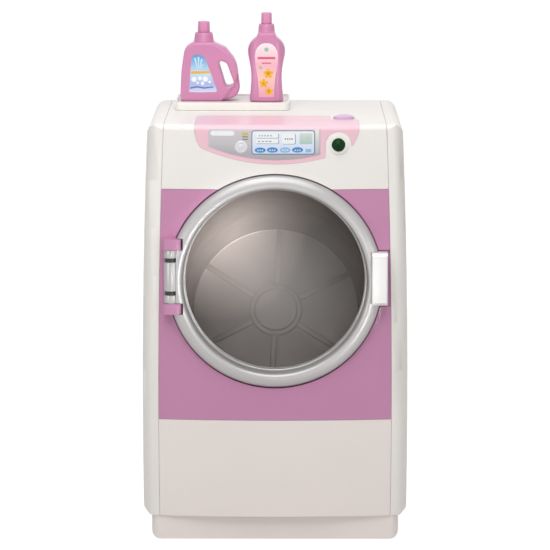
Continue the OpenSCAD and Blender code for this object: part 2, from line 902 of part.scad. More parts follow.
module door_window() {
    dome_edge = door_inner_r - 2.4;
    dome_r = (dome_edge * dome_edge + window_dome * window_dome) / (2 * window_dome);
    color("#c8ccd0") difference() {
        ring_revolve() union() {
            intersection() {
                translate([0, window_front - window_dome + dome_r]) difference() {
                    circle(dome_r, $fn = big_fn);
                    circle(dome_r - window_t, $fn = big_fn);
                }
                translate([0, window_front - window_dome - 1])
                    square([dome_edge, window_dome + window_t + 1]);
            }
            translate([dome_edge - 0.6, window_front])
                square([plug_r - 0.2 - dome_edge + 0.6, window_t]);
        }
        for (a = [30 : 60 : 330]) ring_screw_place(a, window_front - 1)
            cylinder(h = window_t + 2, r = 0.95, $fn = 24);
    }
}

module window_retainer() {
    color(silver) difference() {
        ring_revolve() translate([door_inner_r - 1, window_front + window_t + 0.1])
            square([plug_r - 0.2 - door_inner_r + 1, retainer_t]);
        for (a = [30 : 60 : 330]) ring_screw_place(a, window_front)
            cylinder(h = 9, r = 0.95, $fn = 24);
    }
}

module retainer_screws() {
    color(steel) for (a = [30 : 60 : 330])
        ring_screw_place(a, window_front + window_t + retainer_t + 0.15)
            mirror([0, 0, 1]) screw(7, 1.4, 0.65);
}

module hinge_pin() {
    color(steel) translate([hinge_x, front_y, bracket_low_z - bracket_h + 1.6])
        cylinder(h = barrel_len + 2 * bracket_h - 3.2, r = pin_r, $fn = 32);
}

module door_handle() {
    half_h = handle_h / 2;
    bevel = 2.6;
    under = 4.5;
    color("#f4f2f0") difference() {
        intersection() {
            translate([handle_x - 5, 0, 0]) rotate([90, 0, 90]) linear_extrude(handle_w + 5)
                polygon([[front_y + under, handle_z - half_h], [front_y - handle_out + bevel,
                    handle_z - half_h], [front_y - handle_out, handle_z - half_h + bevel],
                    [front_y - handle_out, handle_z + half_h - bevel], [front_y - handle_out + bevel,
                    handle_z + half_h], [front_y + under, handle_z + half_h]]);
            translate([0, 0, handle_z - half_h]) linear_extrude(handle_h)
                polygon([[handle_x, front_y + under], [handle_x, front_y - handle_out + 1.2],
                    [handle_x + 1.2, front_y - handle_out], [handle_end - 2, front_y - handle_out],
                    [handle_end, front_y - handle_out + 2], [handle_end, front_y + under]]);
        }
        ring_revolve() ring_section(0.12);
        ring_revolve() translate([crest_r, 1]) square([ring_crest_r + 0.12, 20]);
    }
}

// Hook on a foot that fills the hollow of the ring behind the handle
module latch_hook() {
    foot = ring_crest_r - ring_wall - 0.15;
    color(white) union() {
        box_between([latch_x, front_y + 1.5, handle_z - latch_w / 2],
            [latch_x + latch_hook_t, front_y + 21, handle_z + latch_w / 2]);
        intersection() {
            ring_revolve() union() {
                translate([crest_r, 1]) circle(foot);
                translate([crest_r - foot, 1]) square([2 * foot, 5]);
            }
            box_between([0, front_y - 20, handle_z - latch_w / 2],
                [far, front_y + 20, handle_z + latch_w / 2]);
        }
    }
}

// Spring clip behind the door panel that grips the hook
module latch_catch() {
    start = front_y + pocket_floor + wall + 0.1;
    arm = 1;
    gap = 0.3;
    color(steel) for (side = [0, 1])
        translate([0, 0, handle_z]) mirror([0, 0, side]) union() {
            box_between([latch_x - 1, start, latch_w / 2 + gap],
                [latch_x + latch_hook_t + 1, front_y + 23.5, latch_w / 2 + gap + arm]);
            box_between([latch_x - 1, start, latch_w / 2 + gap],
                [latch_x + latch_hook_t + 1, start + arm, latch_w / 2 + gap + 6]);
            box_between([latch_x - 1, front_y + 22.5, -0.01],
                [latch_x + latch_hook_t + 1, front_y + 23.5, latch_w / 2 + gap + arm]);
        }
}

// ---------- drum and tub ----------

module drum_frame() {
    translate([0, mouth_y, mouth_z]) rotate([-90 - drum_tilt, 0, 0]) children();
}

tub_front_r = drum_mouth_r + drum_wall + drum_gap;
tub_back_r = drum_back_r + drum_wall + drum_gap;
flange_up = 3;
flange_r = tub_front_r + 5.5;
flange_t = 2;
tub_screw_angles = [0, 180, 240, 300];

module tub_screw_place(angle, s) {
    translate([0, -flange_up, s]) rotate([0, 0, angle]) translate([flange_r - 1.9, 0, 0]) children();
}

module tub() {
    color(drum_grey) drum_frame() difference() {
        union() {
            rotate_extrude($fn = 120) polygon([[tub_front_r, -1], [tub_front_r + drum_wall, -1],
                [tub_back_r + drum_wall, tub_wall_end], [0, tub_wall_end], [0, tub_back],
                [tub_back_r, tub_back]]);
            difference() {
                translate([0, -flange_up, -1]) cylinder(h = flange_t, r = flange_r);
                translate([0, 0, -2]) cylinder(h = flange_t + 4, r = tub_front_r);
            }
            translate([0, 0, tub_back]) cylinder(h = gear_start - 0.6 - tub_back, r = bush_r + 2.5);
            translate([0, coarse_distance, tub_back])
                cylinder(h = gear_start - 0.8 - tub_back, r = axle_r + 2.5);
        }
        translate([0, 0, tub_back - 1]) cylinder(h = 20, r = bush_r + 0.05);
        translate([0, coarse_distance, tub_wall_end]) cylinder(h = 20, r = axle_r + 0.02);
        for (a = tub_screw_angles) tub_screw_place(a, -5) cylinder(h = 12, r = 1.1, $fn = 24);
        for (p = post_places) translate([p[0], p[1], tub_back - 1]) cylinder(h = 5, r = 1.35, $fn = 24);
    }
}

// Funnel from the door opening to the tub's mouth
module tub_collar() {
    start = recess_depth + wall + seat;
    color(drum_grey) difference() {
        union() {
            intersection() {
                facing_back(0, start, door_z) cylinder(h = 120, r = opening_r + drum_wall);
                drum_frame() translate([-far / 2, -far / 2, -far - 1.2]) cube([far, far, far]);
            }
            intersection() {
                drum_frame() translate([0, -flange_up, -1.2 - flange_t])
                    cylinder(h = flange_t, r = flange_r);
                box_between([-far, front_y + start, 0], [far, far, far]);
            }
        }
        facing_back(0, 0, door_z) cylinder(h = 150, r = opening_r);
        drum_frame() for (a = tub_screw_angles)
            tub_screw_place(a, -8) cylinder(h = 12, r = 1.1, $fn = 24);
    }
}

module tub_screws() {
    color(steel) drum_frame() for (a = tub_screw_angles)
        tub_screw_place(a, flange_t - 1 + 0.05) mirror([0, 0, 1]) screw(7, 1.5, 1);
}

module drum_shell() {
    lip = drum_wall / 2 + 0.2;
    outer_mouth = drum_mouth_r + drum_wall;
    outer_back = drum_back_r + drum_wall;
    color(drum_grey) drum_frame() difference() {
        union() {
            rotate_extrude($fn = 120) union() {
                polygon([[drum_mouth_r, 0], [outer_mouth, 0], [outer_back, drum_depth + drum_wall],
                    [0, drum_depth + drum_wall], [0, drum_depth], [drum_back_r, drum_depth]]);
                translate([drum_mouth_r + drum_wall / 2, lip - 0.4]) circle(lip, $fn = 32);
            }
            difference() {
                translate([0, 0, drum_depth - rib_h]) cylinder(h = rib_h + 0.5, r = hub_r);
                translate([0, 0, drum_depth - rib_h - 1]) cylinder(h = rib_h + 1, r = hub_r - rib_w);
            }
            for (i = [0 : drum_ribs - 1]) rotate([0, 0, -90 + i * 360 / drum_ribs + 3])
                translate([hub_r - 1, -rib_w / 2, drum_depth - rib_h])
                    cube([drum_back_r - hub_r, rib_w, rib_h + 0.5]);
        }
        for (a = [0, 120, 240]) rotate([0, 0, a]) translate([hub_r - 14.5, 0, drum_depth - 2])
            cylinder(h = 8, r = 1.4, $fn = 24);
    }
}

module drum_hub_cap() {
    r = hub_r - rib_w - 0.3;
    color(drum_grey) drum_frame() difference() {
        translate([0, 0, drum_depth - 2.4]) cylinder(h = 2.3, r = r);
        translate([0, 0, drum_depth - 2]) cylinder(h = 3, r = r - 2);
    }
}

module drum_screws() {
    color(steel) drum_frame() for (a = [0, 120, 240]) rotate([0, 0, a])
        translate([hub_r - 14.5, 0, drum_depth - 0.05]) screw(4, 2.4, 1.15);
}

module drum_shaft() {
    color(steel) drum_frame() difference() {
        union() {
            translate([0, 0, drum_depth + drum_wall + 0.05]) cylinder(h = 2, r = hub_r - 10);
            translate([0, 0, drum_depth + drum_wall + 0.05])
                cylinder(h = plate_start + plate_t + 1 - drum_depth - drum_wall, r = shaft_r);
        }
        for (a = [0, 120, 240]) rotate([0, 0, a]) translate([hub_r - 14.5, 0, drum_depth])
            cylinder(h = 8, r = 1.2, $fn = 24);
    }
}

module shaft_bush() {
    color("#b08d4f") drum_frame() difference() {
        union() {
            translate([0, 0, tub_back - 0.5]) cylinder(h = gear_start - 0.1 - tub_back, r = bush_r);
            translate([0, 0, tub_back - 1]) cylinder(h = 0.95, r = bush_r + 2);
        }
        translate([0, 0, tub_back - 2]) cylinder(h = 20, r = shaft_r + run_gap);
    }
}

// ---------- gears ----------

function involute(base, a) = [base * (cos(a) + a * PI / 180 * sin(a)), base * (sin(a) - a * PI / 180 * cos(a))];
function turned(p, a) = [p[0] * cos(a) - p[1] * sin(a), p[0] * sin(a) + p[1] * cos(a)];
function roll_at(r, base) = r <= base ? 0 : sqrt(r * r / (base * base) - 1) * 180 / PI;
function flank_angle(r, base) = let (p = involute(base, roll_at(r, base))) atan2(p[1], p[0]);

// Outline of an involute gear, with the middle of a tooth on the x axis
module gear_outline(teeth, m) {
    pitch = m * teeth / 2;
    base = pitch * cos(20);
    tip = pitch + tip_share * m;
    root = pitch - 1.2 * m;
    half = 90 / teeth - backlash * m / 2 / pitch * 180 / PI + flank_angle(pitch, base);
    low = max(root, base);
    levels = [low, low + (tip - low) * 0.35, low + (tip - low) * 0.7, tip];
    tooth = concat(
        [[root * cos(-half), root * sin(-half)]],
        [for (r = levels) turned([r, 0], flank_angle(r, base) - half)],
        [for (i = [3 : -1 : 0]) turned([levels[i], 0], half - flank_angle(levels[i], base))],
        [[root * cos(half), root * sin(half)]]);
    polygon([for (i = [0 : teeth - 1]) for (p = tooth) turned(p, i * 360 / teeth)]);
}

module gear(teeth, m, width, bore, start_angle = 0) {
    linear_extrude(width) difference() {
        rotate(start_angle) gear_outline(teeth, m);
        circle(bore);
    }
}

module drum_gear() {
    color(white) drum_frame() translate([0, 0, gear_start]) difference() {
        union() {
            gear(drum_teeth, coarse_module, gear_w, shaft_r + 0.02, 90);
            difference() {
                cylinder(h = gear_w + 2, r = shaft_r + 4);
                translate([0, 0, -1]) cylinder(h = gear_w + 4, r = shaft_r + 0.02);
            }
        }
        for (a = [30 : 60 : 330]) rotate([0, 0, a])
            translate([(drum_teeth * coarse_module / 2 + shaft_r) / 2 + 1, 0, -1])
                cylinder(h = gear_w + 2, r = 6);
    }
}

module idler_gear() {
    idler_turn = -90 + 180 / idler_small_teeth;
    color(white) drum_frame() translate([0, coarse_distance, gear_start]) union() {
        gear(idler_small_teeth, coarse_module, gear_w + 1.8, axle_r + run_gap, idler_turn);
        translate([0, 0, gear_w + 1.8])
            gear(idler_large_teeth, fine_module, large_w, axle_r + run_gap, 90);
    }
}

module idler_axle() {
    color(steel) drum_frame() translate([0, coarse_distance, tub_wall_end + 0.3])
        cylinder(h = plate_start + plate_t - tub_wall_end - 0.3, r = axle_r, $fn = 32);
}

module motor_pinion() {
    color("#b08d4f") drum_frame() translate([0, motor_y, large_start - 0.4])
        gear(pinion_teeth, fine_module, large_w + 0.8, 1.02, -90 + 180 / pinion_teeth);
}

module motor_shaft() {
    color(steel) drum_frame() translate([0, motor_y, large_start - 0.4])
        cylinder(h = plate_start + plate_t + 6 - large_start, r = 1, $fn = 24);
}

module gearbox_plate() {
    color("#d8d8d6") drum_frame() difference() {
        union() {
            translate([0, 0, plate_start]) linear_extrude(plate_t) union() {
                hull() {
                    for (p = post_places) translate([p[0], p[1]]) circle(post_r + 1.6, $fn = 32);
                    circle(10, $fn = 32);
                }
                hull() {
                    translate([0, motor_y]) circle(motor_r + 3, $fn = 32);
                    translate([0, coarse_distance]) circle(20, $fn = 32);
                }
            }
            for (p = post_places) translate([p[0], p[1], tub_wall_end + 0.1])
                cylinder(h = plate_start - tub_wall_end, r = post_r, $fn = 32);
        }
        translate([0, 0, plate_start - 1]) cylinder(h = plate_t + 2, r = shaft_r + run_gap);
        translate([0, coarse_distance, plate_start - 1]) cylinder(h = plate_t + 2, r = axle_r + 0.02);
        translate([0, motor_y, plate_start - 1]) cylinder(h = plate_t + 2, r = 3.2);
        for (x = [-1, 1]) translate([x * motor_r * 0.6, motor_y, plate_start - 1])
            cylinder(h = plate_t + 2, r = 1.2, $fn = 24);
        for (p = post_places) translate([p[0], p[1], tub_wall_end - 1])
            cylinder(h = far, r = 1.4, $fn = 24);
    }
}

module gearbox_screws() {
    color(steel) drum_frame() for (p = post_places)
        translate([p[0], p[1], plate_start + plate_t + 0.05]) mirror([0, 0, 1])
            screw(plate_start + plate_t - tub_wall_end + 1.5, 2.6, 1.3);
}

module motor() {
    start = plate_start + plate_t + 0.1;
    color(steel) drum_frame() translate([0, motor_y, start]) difference() {
        union() {
            cylinder(h = motor_len, r = motor_r);
            translate([0, 0, -1.5]) cylinder(h = 2, r = 3);
            translate([0, 0, motor_len - 0.5]) cylinder(h = 2, r = 4);
            for (x = [-1, 1]) translate([x * 7 - 0.3, -1.2, motor_len - 0.5]) cube([0.6, 2.4, 5]);
        }
        translate([0, 0, -3]) cylinder(h = 10, r = 1 + run_gap, $fn = 24);
        for (x = [-1, 1]) translate([x * motor_r * 0.6, 0, -1]) cylinder(h = 6, r = 1.05, $fn = 24);
    }
}

module motor_screws() {
    color(steel) drum_frame() for (x = [-1, 1])
        translate([x * motor_r * 0.6, motor_y, plate_start - 0.05]) screw(plate_t + 3.5, 1.7, 1);
}

// ---------- batteries ----------

battery_back = back_y - wall - seat;

function cell_x(i) = -battery_inner[0] / 2 + 1 + (i + 0.5) * (2 * cell_r + 1) - 0.5;

module battery_box() {
    w = battery_inner[0] / 2;
    t = 1.6;
    color(white) difference() {
        union() {
            box_between([-w - t, battery_back - battery_inner[1] - t, battery_box_z - t],
                [w + t, battery_back, battery_box_z + battery_inner[2] + t]);
            box_between([-w - 8, battery_back - 2, cover_low - 4],
                [w + 8, battery_back, cover_high + 4]);
        }
        translate([0, back_y, cover_screw_z]) rotate([90, 0, 0]) cylinder(h = 8, r = 1.25, $fn = 24);
        box_between([-w, battery_back - battery_inner[1], battery_box_z],
            [w, battery_back + 1, battery_box_z + battery_inner[2]]);
    }
}

module batteries() {
    for (i = [0 : cell_count - 1])
        translate([cell_x(i), battery_back - battery_inner[1] / 2, battery_box_z + battery_inner[2] / 2])
            rotate([i % 2 * 180, 0, 0]) color("#3d6db5") union() {
                translate([0, 0, -cell_len / 2]) cylinder(h = cell_len, r = cell_r);
                cylinder(h = cell_len / 2 + 1.6, r = 2.7);
            }
}

module battery_contacts() {
    half = battery_inner[2] / 2;
    color(steel) for (i = [0 : cell_count - 1])
        translate([cell_x(i), battery_back - battery_inner[1] / 2, battery_box_z + half])
            rotate([i % 2 * 180, 0, 0]) {
                translate([-4.5, -4.5, half - 0.5]) cube([9, 9, 0.4]);
                translate([-4.5, -4.5, -half + 0.1]) cube([9, 9, 0.4]);
                translate([0, 0, -half + 0.5]) cylinder(h = half - cell_len / 2 - 0.6, r1 = 4, r2 = 2.2);
            }
}

module battery_cover() {
    color(white) difference() {
        box_between([-cover_half + seam_gap, back_y - wall, cover_low + seam_gap],
            [cover_half - seam_gap, back_y, cover_high - seam_gap]);
        for (i = [0 : 3]) box_between([-9, back_y - 0.8, battery_box_z + 6 + 3 * i],
            [9, back_y + 1, battery_box_z + 7.4 + 3 * i]);
        translate([0, back_y + 1, cover_screw_z]) rotate([90, 0, 0])
            cylinder(h = 6, r = 1.4, $fn = 24);
    }
}

module battery_cover_screw() {
    color(steel) translate([0, back_y + 0.05, cover_screw_z])
        rotate([90, 0, 0]) screw(wall + 1.6, 2.4, 1.2);
}

// ---------- start button ----------

module start_button() {
    top = body_h + button_out;
    flange_top = body_h - wall - 0.3;
    dome_r = (button_r * button_r + 4) / 4;
    color("#dcc0df") translate([button_x, front_y + button_depth, 0]) union() {
        difference() {
            union() {
                translate([0, 0, flange_top - 1.6]) cylinder(h = 1.6, r = guide_r - 0.3);
                translate([0, 0, flange_top - 1.6]) cylinder(h = top - 2 - flange_top + 1.6, r = button_r);
                intersection() {
                    translate([0, 0, top - dome_r]) sphere(dome_r);
                    translate([0, 0, top - 2.01]) cylinder(h = 4, r = button_r);
                }
            }
            translate([0, 0, flange_top - 3])
                cylinder(h = top - button_roof - flange_top + 3, r = button_r - 1.6);
        }
        translate([0, 0, stem_end]) cylinder(h = top - 1.8 - stem_end, r = 2.3, $fn = 32);
    }
}

spring_low = body_h - guide_depth + 1.65;
spring_high = body_h + button_out - button_roof - 0.05;
spring_turns = 5;
spring_r = 5;
wire_r = 0.4;

// Wire of the spring as one skin: rings of points along a helix
module button_spring() {
    steps = 16 * spring_turns;
    sides = 6;
    rise = spring_high - spring_low - 2 * wire_r - 0.1;
    points = [for (i = [0 : steps]) for (j = [0 : sides - 1])
        let (a = 360 * spring_turns * i / steps, b = 360 * j / sides)
            [(spring_r + wire_r * cos(b)) * cos(a), (spring_r + wire_r * cos(b)) * sin(a),
                wire_r + 0.05 + rise * i / steps + wire_r * sin(b)]];
    skin = [for (i = [0 : steps - 1]) for (j = [0 : sides - 1])
        let (k = (j + 1) % sides) [i * sides + j, (i + 1) * sides + j, (i + 1) * sides + k, i * sides + k]];
    ends = [[for (j = [0 : sides - 1]) j], [for (j = [sides - 1 : -1 : 0]) steps * sides + j]];
    color(steel) translate([button_x, front_y + button_depth, spring_low])
        polyhedron(points, concat(skin, ends));
}

// ---------- tray and bottles ----------

module rounded_plan(w, d, r) {
    union() {
        translate([r, 0]) square([w - 2 * r, d]);
        translate([0, r]) square([w, d - 2 * r]);
        for (x = [r, w - r], y = [r, d - r]) translate([x, y]) circle(r, $fn = 32);
    }
}

module tray() {
    rim = 2;
    color(white) difference() {
        union() {
            translate([tray_x, tray_y, body_h + seat]) linear_extrude(tray_h - seat)
                rounded_plan(tray_w, tray_d, 6);
            tray_pegs(body_h - wall - 1) cylinder(h = deck_z - body_h + wall, r = peg_r, $fn = 32);
        }
        translate([tray_x + rim, tray_y + rim, deck_z]) linear_extrude(10)
            rounded_plan(tray_w - 2 * rim, tray_d - 2 * rim, 4);
        difference() {
            translate([tray_x + rim, tray_y + rim, body_h - 1]) linear_extrude(deck_z - body_h - 1)
                rounded_plan(tray_w - 2 * rim, tray_d - 2 * rim, 4);
            tray_pegs(body_h - 5) cylinder(h = 20, r = peg_r + 2.4, $fn = 32);
        }
    }
}

module jug_outline() {
    scale([jug_w / 56.5, jug_h / 64.6]) difference() {
        union() {
            hull() {
                translate([3, 3]) circle(3, $fn = 32);
                translate([4.1, 28]) circle(3, $fn = 32);
                translate([13.5, 44.5]) circle(10, $fn = 48);
                translate([12.8, 55]) square([19, 1]);
                translate([39.1, 1.5]) circle(1.5, $fn = 32);
                translate([30, 27.5]) circle(24.5, $fn = 96);
            }
            hull() {
                translate([38.9, 45.2]) circle(6.5, $fn = 48);
                translate([30, 27.5]) circle(24.5, $fn = 96);
                translate([45, 13.1]) circle(11.5, $fn = 64);
            }
        }
        hull() {
            translate([38.9, 35.9]) circle(2.1, $fn = 32);
            translate([42.3, 34.3]) circle(2.4, $fn = 32);
            translate([48.6, 17]) circle(2.4, $fn = 32);
            translate([45.2, 16]) circle(2.4, $fn = 32);
        }
    }
}

module detergent_bottle() {
    half_d = jug_d / 2;
    color(bottle_pink) translate([jug_x, jug_y, deck_z + seat]) union() {
        intersection() {
            rotate([90, 0, 0]) translate([0, 0, -half_d]) linear_extrude(jug_d) jug_outline();
            union() {
                translate([0, -half_d, 0]) linear_extrude(jug_h) rounded_plan(jug_w * 0.72, jug_d, 5);
                translate([8, -half_d * 0.6, 0]) linear_extrude(jug_h)
                    rounded_plan(jug_w - 8, jug_d * 0.6, 6);
            }
        }
        translate([jug_neck_x, 0, jug_h * 0.8]) cylinder(h = jug_h * 0.075, r = 9.9);
        translate([jug_neck_x, 0, jug_h * 0.86]) cylinder(h = jug_h * 0.14, r1 = 9.5, r2 = 8.1);
    }
}

module detergent_cap() {
    color(bottle_pink) translate([jug_x + jug_neck_x, jug_y, deck_z + seat + jug_h + 0.05])
        cylinder(h = 10.3, r1 = 5.8, r2 = 5.5);
}

// Right hand side of the outline, from the foot to the neck
soft_side = [[15.2, 0], [16, 0.9], [16, 2.5], [15.5, 7], [14.8, 14], [14.4, 20], [14.4, 26],
    [14.9, 32], [15.9, 38], [17, 43], [17.6, 46.5], [17.7, 49.5], [17.2, 52.5], [16, 55.3],
    [14.2, 57.7], [12, 59.7], [9.6, 61.4], [8.6, 63], [8.4, 66]];

module soft_outline() {
    half = [for (p = soft_side) [p[0] * soft_w / 35.4, p[1] * soft_h / 74.2]];
    union() {
        polygon(concat([[0, 0]], half, [[0, half[len(half) - 1][1]]]));
        mirror([1, 0]) polygon(concat([[0, 0]], half, [[0, half[len(half) - 1][1]]]));
    }
}

module softener_bottle() {
    color(bottle_pink) translate([soft_x + soft_w / 2, soft_y, deck_z + seat]) union() {
        intersection() {
            rotate([90, 0, 0]) translate([0, 0, -soft_d / 2]) linear_extrude(soft_d) soft_outline();
            translate([-soft_w / 2, -soft_d / 2, 0]) linear_extrude(soft_h)
                rounded_plan(soft_w, soft_d, soft_d / 2 - 2);
        }
        translate([0, 0, soft_h * 0.83]) cylinder(h = soft_h * 0.17, r1 = 8.2, r2 = 7.2);
    }
}

module softener_cap() {
    color(bottle_pink) translate([soft_x + soft_w / 2, soft_y, deck_z + seat + soft_h + 0.05])
        cylinder(h = 10.6, r1 = 5.1, r2 = 4.9);
}

// ---------- assembly ----------

side_shell_left();
side_shell_right();
lower_front_panel();
door_panel();
top_cover();
back_panel();
plinth();
control_panel();
display_plate();
indicator_lens();
indicator_led();
circuit_board();
button_switch();
board_screws();
tray();
tub();
tub_collar();
tub_screws();
shaft_bush();
gearbox_plate();
gearbox_screws();
idler_axle();
motor();
motor_screws();
battery_box();
batteries();
battery_contacts();
battery_cover();
battery_cover_screw();
back_panel_screws();
hinge_pin();
latch_catch();
door_ring();
door_window();
window_retainer();
retainer_screws();
door_handle();
latch_hook();
drum_shell();
drum_hub_cap();
drum_shaft();
drum_gear();
drum_screws();
idler_gear();
motor_pinion();
motor_shaft();
start_button();
button_spring();
detergent_bottle();
detergent_cap();
softener_bottle();
softener_cap();
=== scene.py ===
"""Finishes, detailed pieces, camera and light for the toy washing machine.

Every piece is in metres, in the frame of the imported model: +Z up, the door faces -Y.
"""

import logging
import math
from dataclasses import dataclass
from enum import Enum
from typing import Callable, Iterable, Sequence

import bpy
from mathutils import Euler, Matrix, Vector

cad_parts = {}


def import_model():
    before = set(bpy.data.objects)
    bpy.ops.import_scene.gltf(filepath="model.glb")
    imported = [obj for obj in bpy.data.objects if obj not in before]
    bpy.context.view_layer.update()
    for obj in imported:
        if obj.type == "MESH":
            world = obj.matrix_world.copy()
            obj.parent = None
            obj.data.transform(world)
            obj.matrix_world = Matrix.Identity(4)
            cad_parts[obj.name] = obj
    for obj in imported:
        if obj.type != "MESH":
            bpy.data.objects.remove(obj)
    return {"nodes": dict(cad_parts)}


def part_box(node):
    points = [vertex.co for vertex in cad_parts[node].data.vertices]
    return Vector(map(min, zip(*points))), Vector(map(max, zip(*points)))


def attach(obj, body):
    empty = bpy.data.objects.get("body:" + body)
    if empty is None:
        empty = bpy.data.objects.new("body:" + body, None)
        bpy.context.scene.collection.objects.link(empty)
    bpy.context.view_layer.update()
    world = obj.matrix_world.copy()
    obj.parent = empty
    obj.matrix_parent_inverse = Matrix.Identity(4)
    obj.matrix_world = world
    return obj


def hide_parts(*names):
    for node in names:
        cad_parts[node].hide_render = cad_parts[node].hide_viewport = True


log = logging.getLogger("washer")

MM = 0.001
FRONT_Y = -119.5  # mm, foremost point of the bowed front
FRONT_BOW_R = 820.0  # mm, radius of the front seen from above
TOP_Z = 382.6  # mm, level of the cabinet's top
DOOR_Z = 240.2  # mm, level of the door's centre
FINE_STEPS = 160  # segments round the door ring and the drum
MERGE_M = 1e-6  # m, points closer than this are one point
NODE_MERGE_M = 2e-6  # m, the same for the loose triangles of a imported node
FLAT_DEG = 0.6  # triangles that meet flatter than this are one face
ARC_STEP = 15  # degrees between the points of a rounded corner
DISC_STEP = 8  # degrees between the points of a disc
INK_LIFT = 0.06  # mm, from one printed layer to the next
NOISE_LOW, NOISE_HIGH = 0.3, 0.7  # nearly all of a noise texture lies between these

Piece = bpy.types.Object
Nodes = dict[str, Piece]
Tree = bpy.types.NodeTree
Socket = bpy.types.NodeSocket
Colour = tuple[float, float, float, float]
Place = tuple[float, float, float]  # x, y and z
Point = tuple[float, float]  # x and z, or radius and height, in mm
Disc = tuple[float, float, float]  # x, z and radius in mm
Outlines = list[list[Point]]


class Facing(Enum):
    """Direction that the local z axis of a turned piece is set to."""

    UP = (0.0, 0.0, 0.0)
    FRONT = (math.pi / 2, 0.0, 0.0)
    DRUM = (-math.radians(110.0), 0.0, 0.0)


def linear(hex_code: str) -> Colour:
    """Turns an sRGB hex colour into linear values.

    Args:
        hex_code: Six hex digits, with or without a leading hash.

    Returns:
        Red, green, blue and an alpha of 1.
    """
    digits = hex_code.lstrip("#")
    parts = [int(digits[i : i + 2], 16) / 255 for i in (0, 2, 4)]
    r, g, b = (p / 12.92 if p <= 0.04045 else ((p + 0.055) / 1.055) ** 2.4 for p in parts)
    return r, g, b, 1.0


def bow(x: float) -> float:
    """Depth in mm of the bowed front behind its foremost point, x mm from the middle."""
    return FRONT_BOW_R - math.sqrt(FRONT_BOW_R**2 - x * x)


# ---------------------------------------------------------------- finishes


def add_node(
    tree: Tree,
    kind: str,
    inputs: dict | None = None,
    stops: Sequence[tuple[float, str]] = (),
    **settings,
) -> bpy.types.Node:
    """Adds a node with its settings, its input values and its links.

    Args:
        tree: Node tree of the material.
        kind: Blender's name of the node type.
        inputs: Input name or index to a value, or to the output socket that feeds it.
        stops: Positions and hex colours of a colour ramp.
        **settings: Properties of the node.

    Returns:
        The new node.
    """
    node = tree.nodes.new(kind)
    for key, value in settings.items():
        setattr(node, key, value)
    for key, value in (inputs or {}).items():
        if isinstance(value, Socket):
            tree.links.new(value, node.inputs[key])
        else:
            node.inputs[key].default_value = value
    if stops:
        ramp = node.color_ramp
        while len(ramp.elements) < len(stops):
            ramp.elements.new(0.5)
        for element, (position, code) in zip(ramp.elements, stops):
            element.position = position
            element.color = linear(code)
    return node


@dataclass(frozen=True)
class Finish:
    """A real finish: what it is made of, how it was formed and what that gives the eye.

    The grain of a mould or a spray is finer than a tenth of a millimetre and wouldn't show, so
    it is drawn as soft waves, grain_mm apart and a few thousandths of a millimetre high.
    """

    name: str
    colour: str
    shade: str = ""
    roughness: float = 0.3
    metallic: float = 0.0
    ior: float = 1.5
    coat: float = 0.0
    coat_roughness: float = 0.08
    patch_mm: float = 60.0
    grain_mm: float = 2.0
    grain_height_mm: float = 0.004
    gloss: float = 0.5
    smears_per_m: float = 45.0
    smear: float = 0.12

    def build(self) -> bpy.types.Material:
        """Makes the material once and finds it again after that.

        Returns:
            The material.
        """
        known = bpy.data.materials.get(self.name)
        if known:
            return known
        material = bpy.data.materials.new(self.name)
        material.use_nodes = True
        tree = material.node_tree
        tree.nodes.clear()
        place = add_node(tree, "ShaderNodeTexCoord").outputs["Object"]
        surface = add_node(tree, "ShaderNodeBsdfPrincipled", self.look(tree, place))
        add_node(tree, "ShaderNodeOutputMaterial", {"Surface": surface.outputs[0]})
        material.diffuse_color = linear(self.colour)
        return material

    def look(self, tree: Tree, place: Socket) -> dict[str, float | Socket]:
        """Inputs of the surface shader, under the shader's own names.

        Args:
            tree: Node tree of the material.
            place: Place on the piece.

        Returns:
            A value or a socket for each input.
        """
        return {
            "Base Color": self.colour_socket(tree, place),
            "Metallic": self.metallic,
            "Roughness": self.roughness_socket(tree, place),
            "IOR": self.ior,
            "Specular IOR Level": self.gloss,
            "Coat Weight": self.coat,
            "Coat Roughness": self.coat_roughness,
            "Normal": self.bump_socket(tree, place),
        }

    def colour_socket(self, tree: Tree, place: Socket) -> Socket:
        """Slow drift between the two tones, as in a moulding or a sprayed coat.

        Args:
            tree: Node tree of the material.
            place: Place on the piece.

        Returns:
            The colour.
        """
        drift = add_node(tree, "ShaderNodeTexNoise", {
            "Vector": place, "Scale": 1 / (self.patch_mm * MM), "Detail": 3.0})
        ramp = add_node(tree, "ShaderNodeValToRGB", {"Fac": drift.outputs["Fac"]},
                        stops=[(NOISE_LOW, self.shade or self.colour), (NOISE_HIGH, self.colour)])
        return ramp.outputs["Color"]

    def roughness_socket(self, tree: Tree, place: Socket) -> Socket:
        """Gloss that varies a little from place to place, as handled plastic does.

        Args:
            tree: Node tree of the material.
            place: Place on the piece.

        Returns:
            The roughness.
        """
        smears = add_node(tree, "ShaderNodeTexNoise", {
            "Vector": place, "Scale": self.smears_per_m, "Detail": 4.0})
        spread = add_node(tree, "ShaderNodeMapRange", {
            "Value": smears.outputs["Fac"], "From Min": NOISE_LOW, "From Max": NOISE_HIGH,
            "To Min": self.roughness * (1 - self.smear),
            "To Max": self.roughness * (1 + self.smear)})
        return spread.outputs["Result"]

    def bump_socket(self, tree: Tree, place: Socket) -> Socket:
        """Fine waviness of the surface, its height and spacing in millimetres.

        Args:
            tree: Node tree of the material.
            place: Place on the piece.

        Returns:
            The normal.
        """
        grain = add_node(tree, "ShaderNodeTexNoise", {
            "Vector": place, "Scale": 1 / (self.grain_mm * MM), "Detail": 2.0})
        bump = add_node(tree, "ShaderNodeBump", {
            "Height": grain.outputs["Fac"], "Strength": 1.0,
            "Distance": self.grain_height_mm * MM})
        return bump.outputs["Normal"]


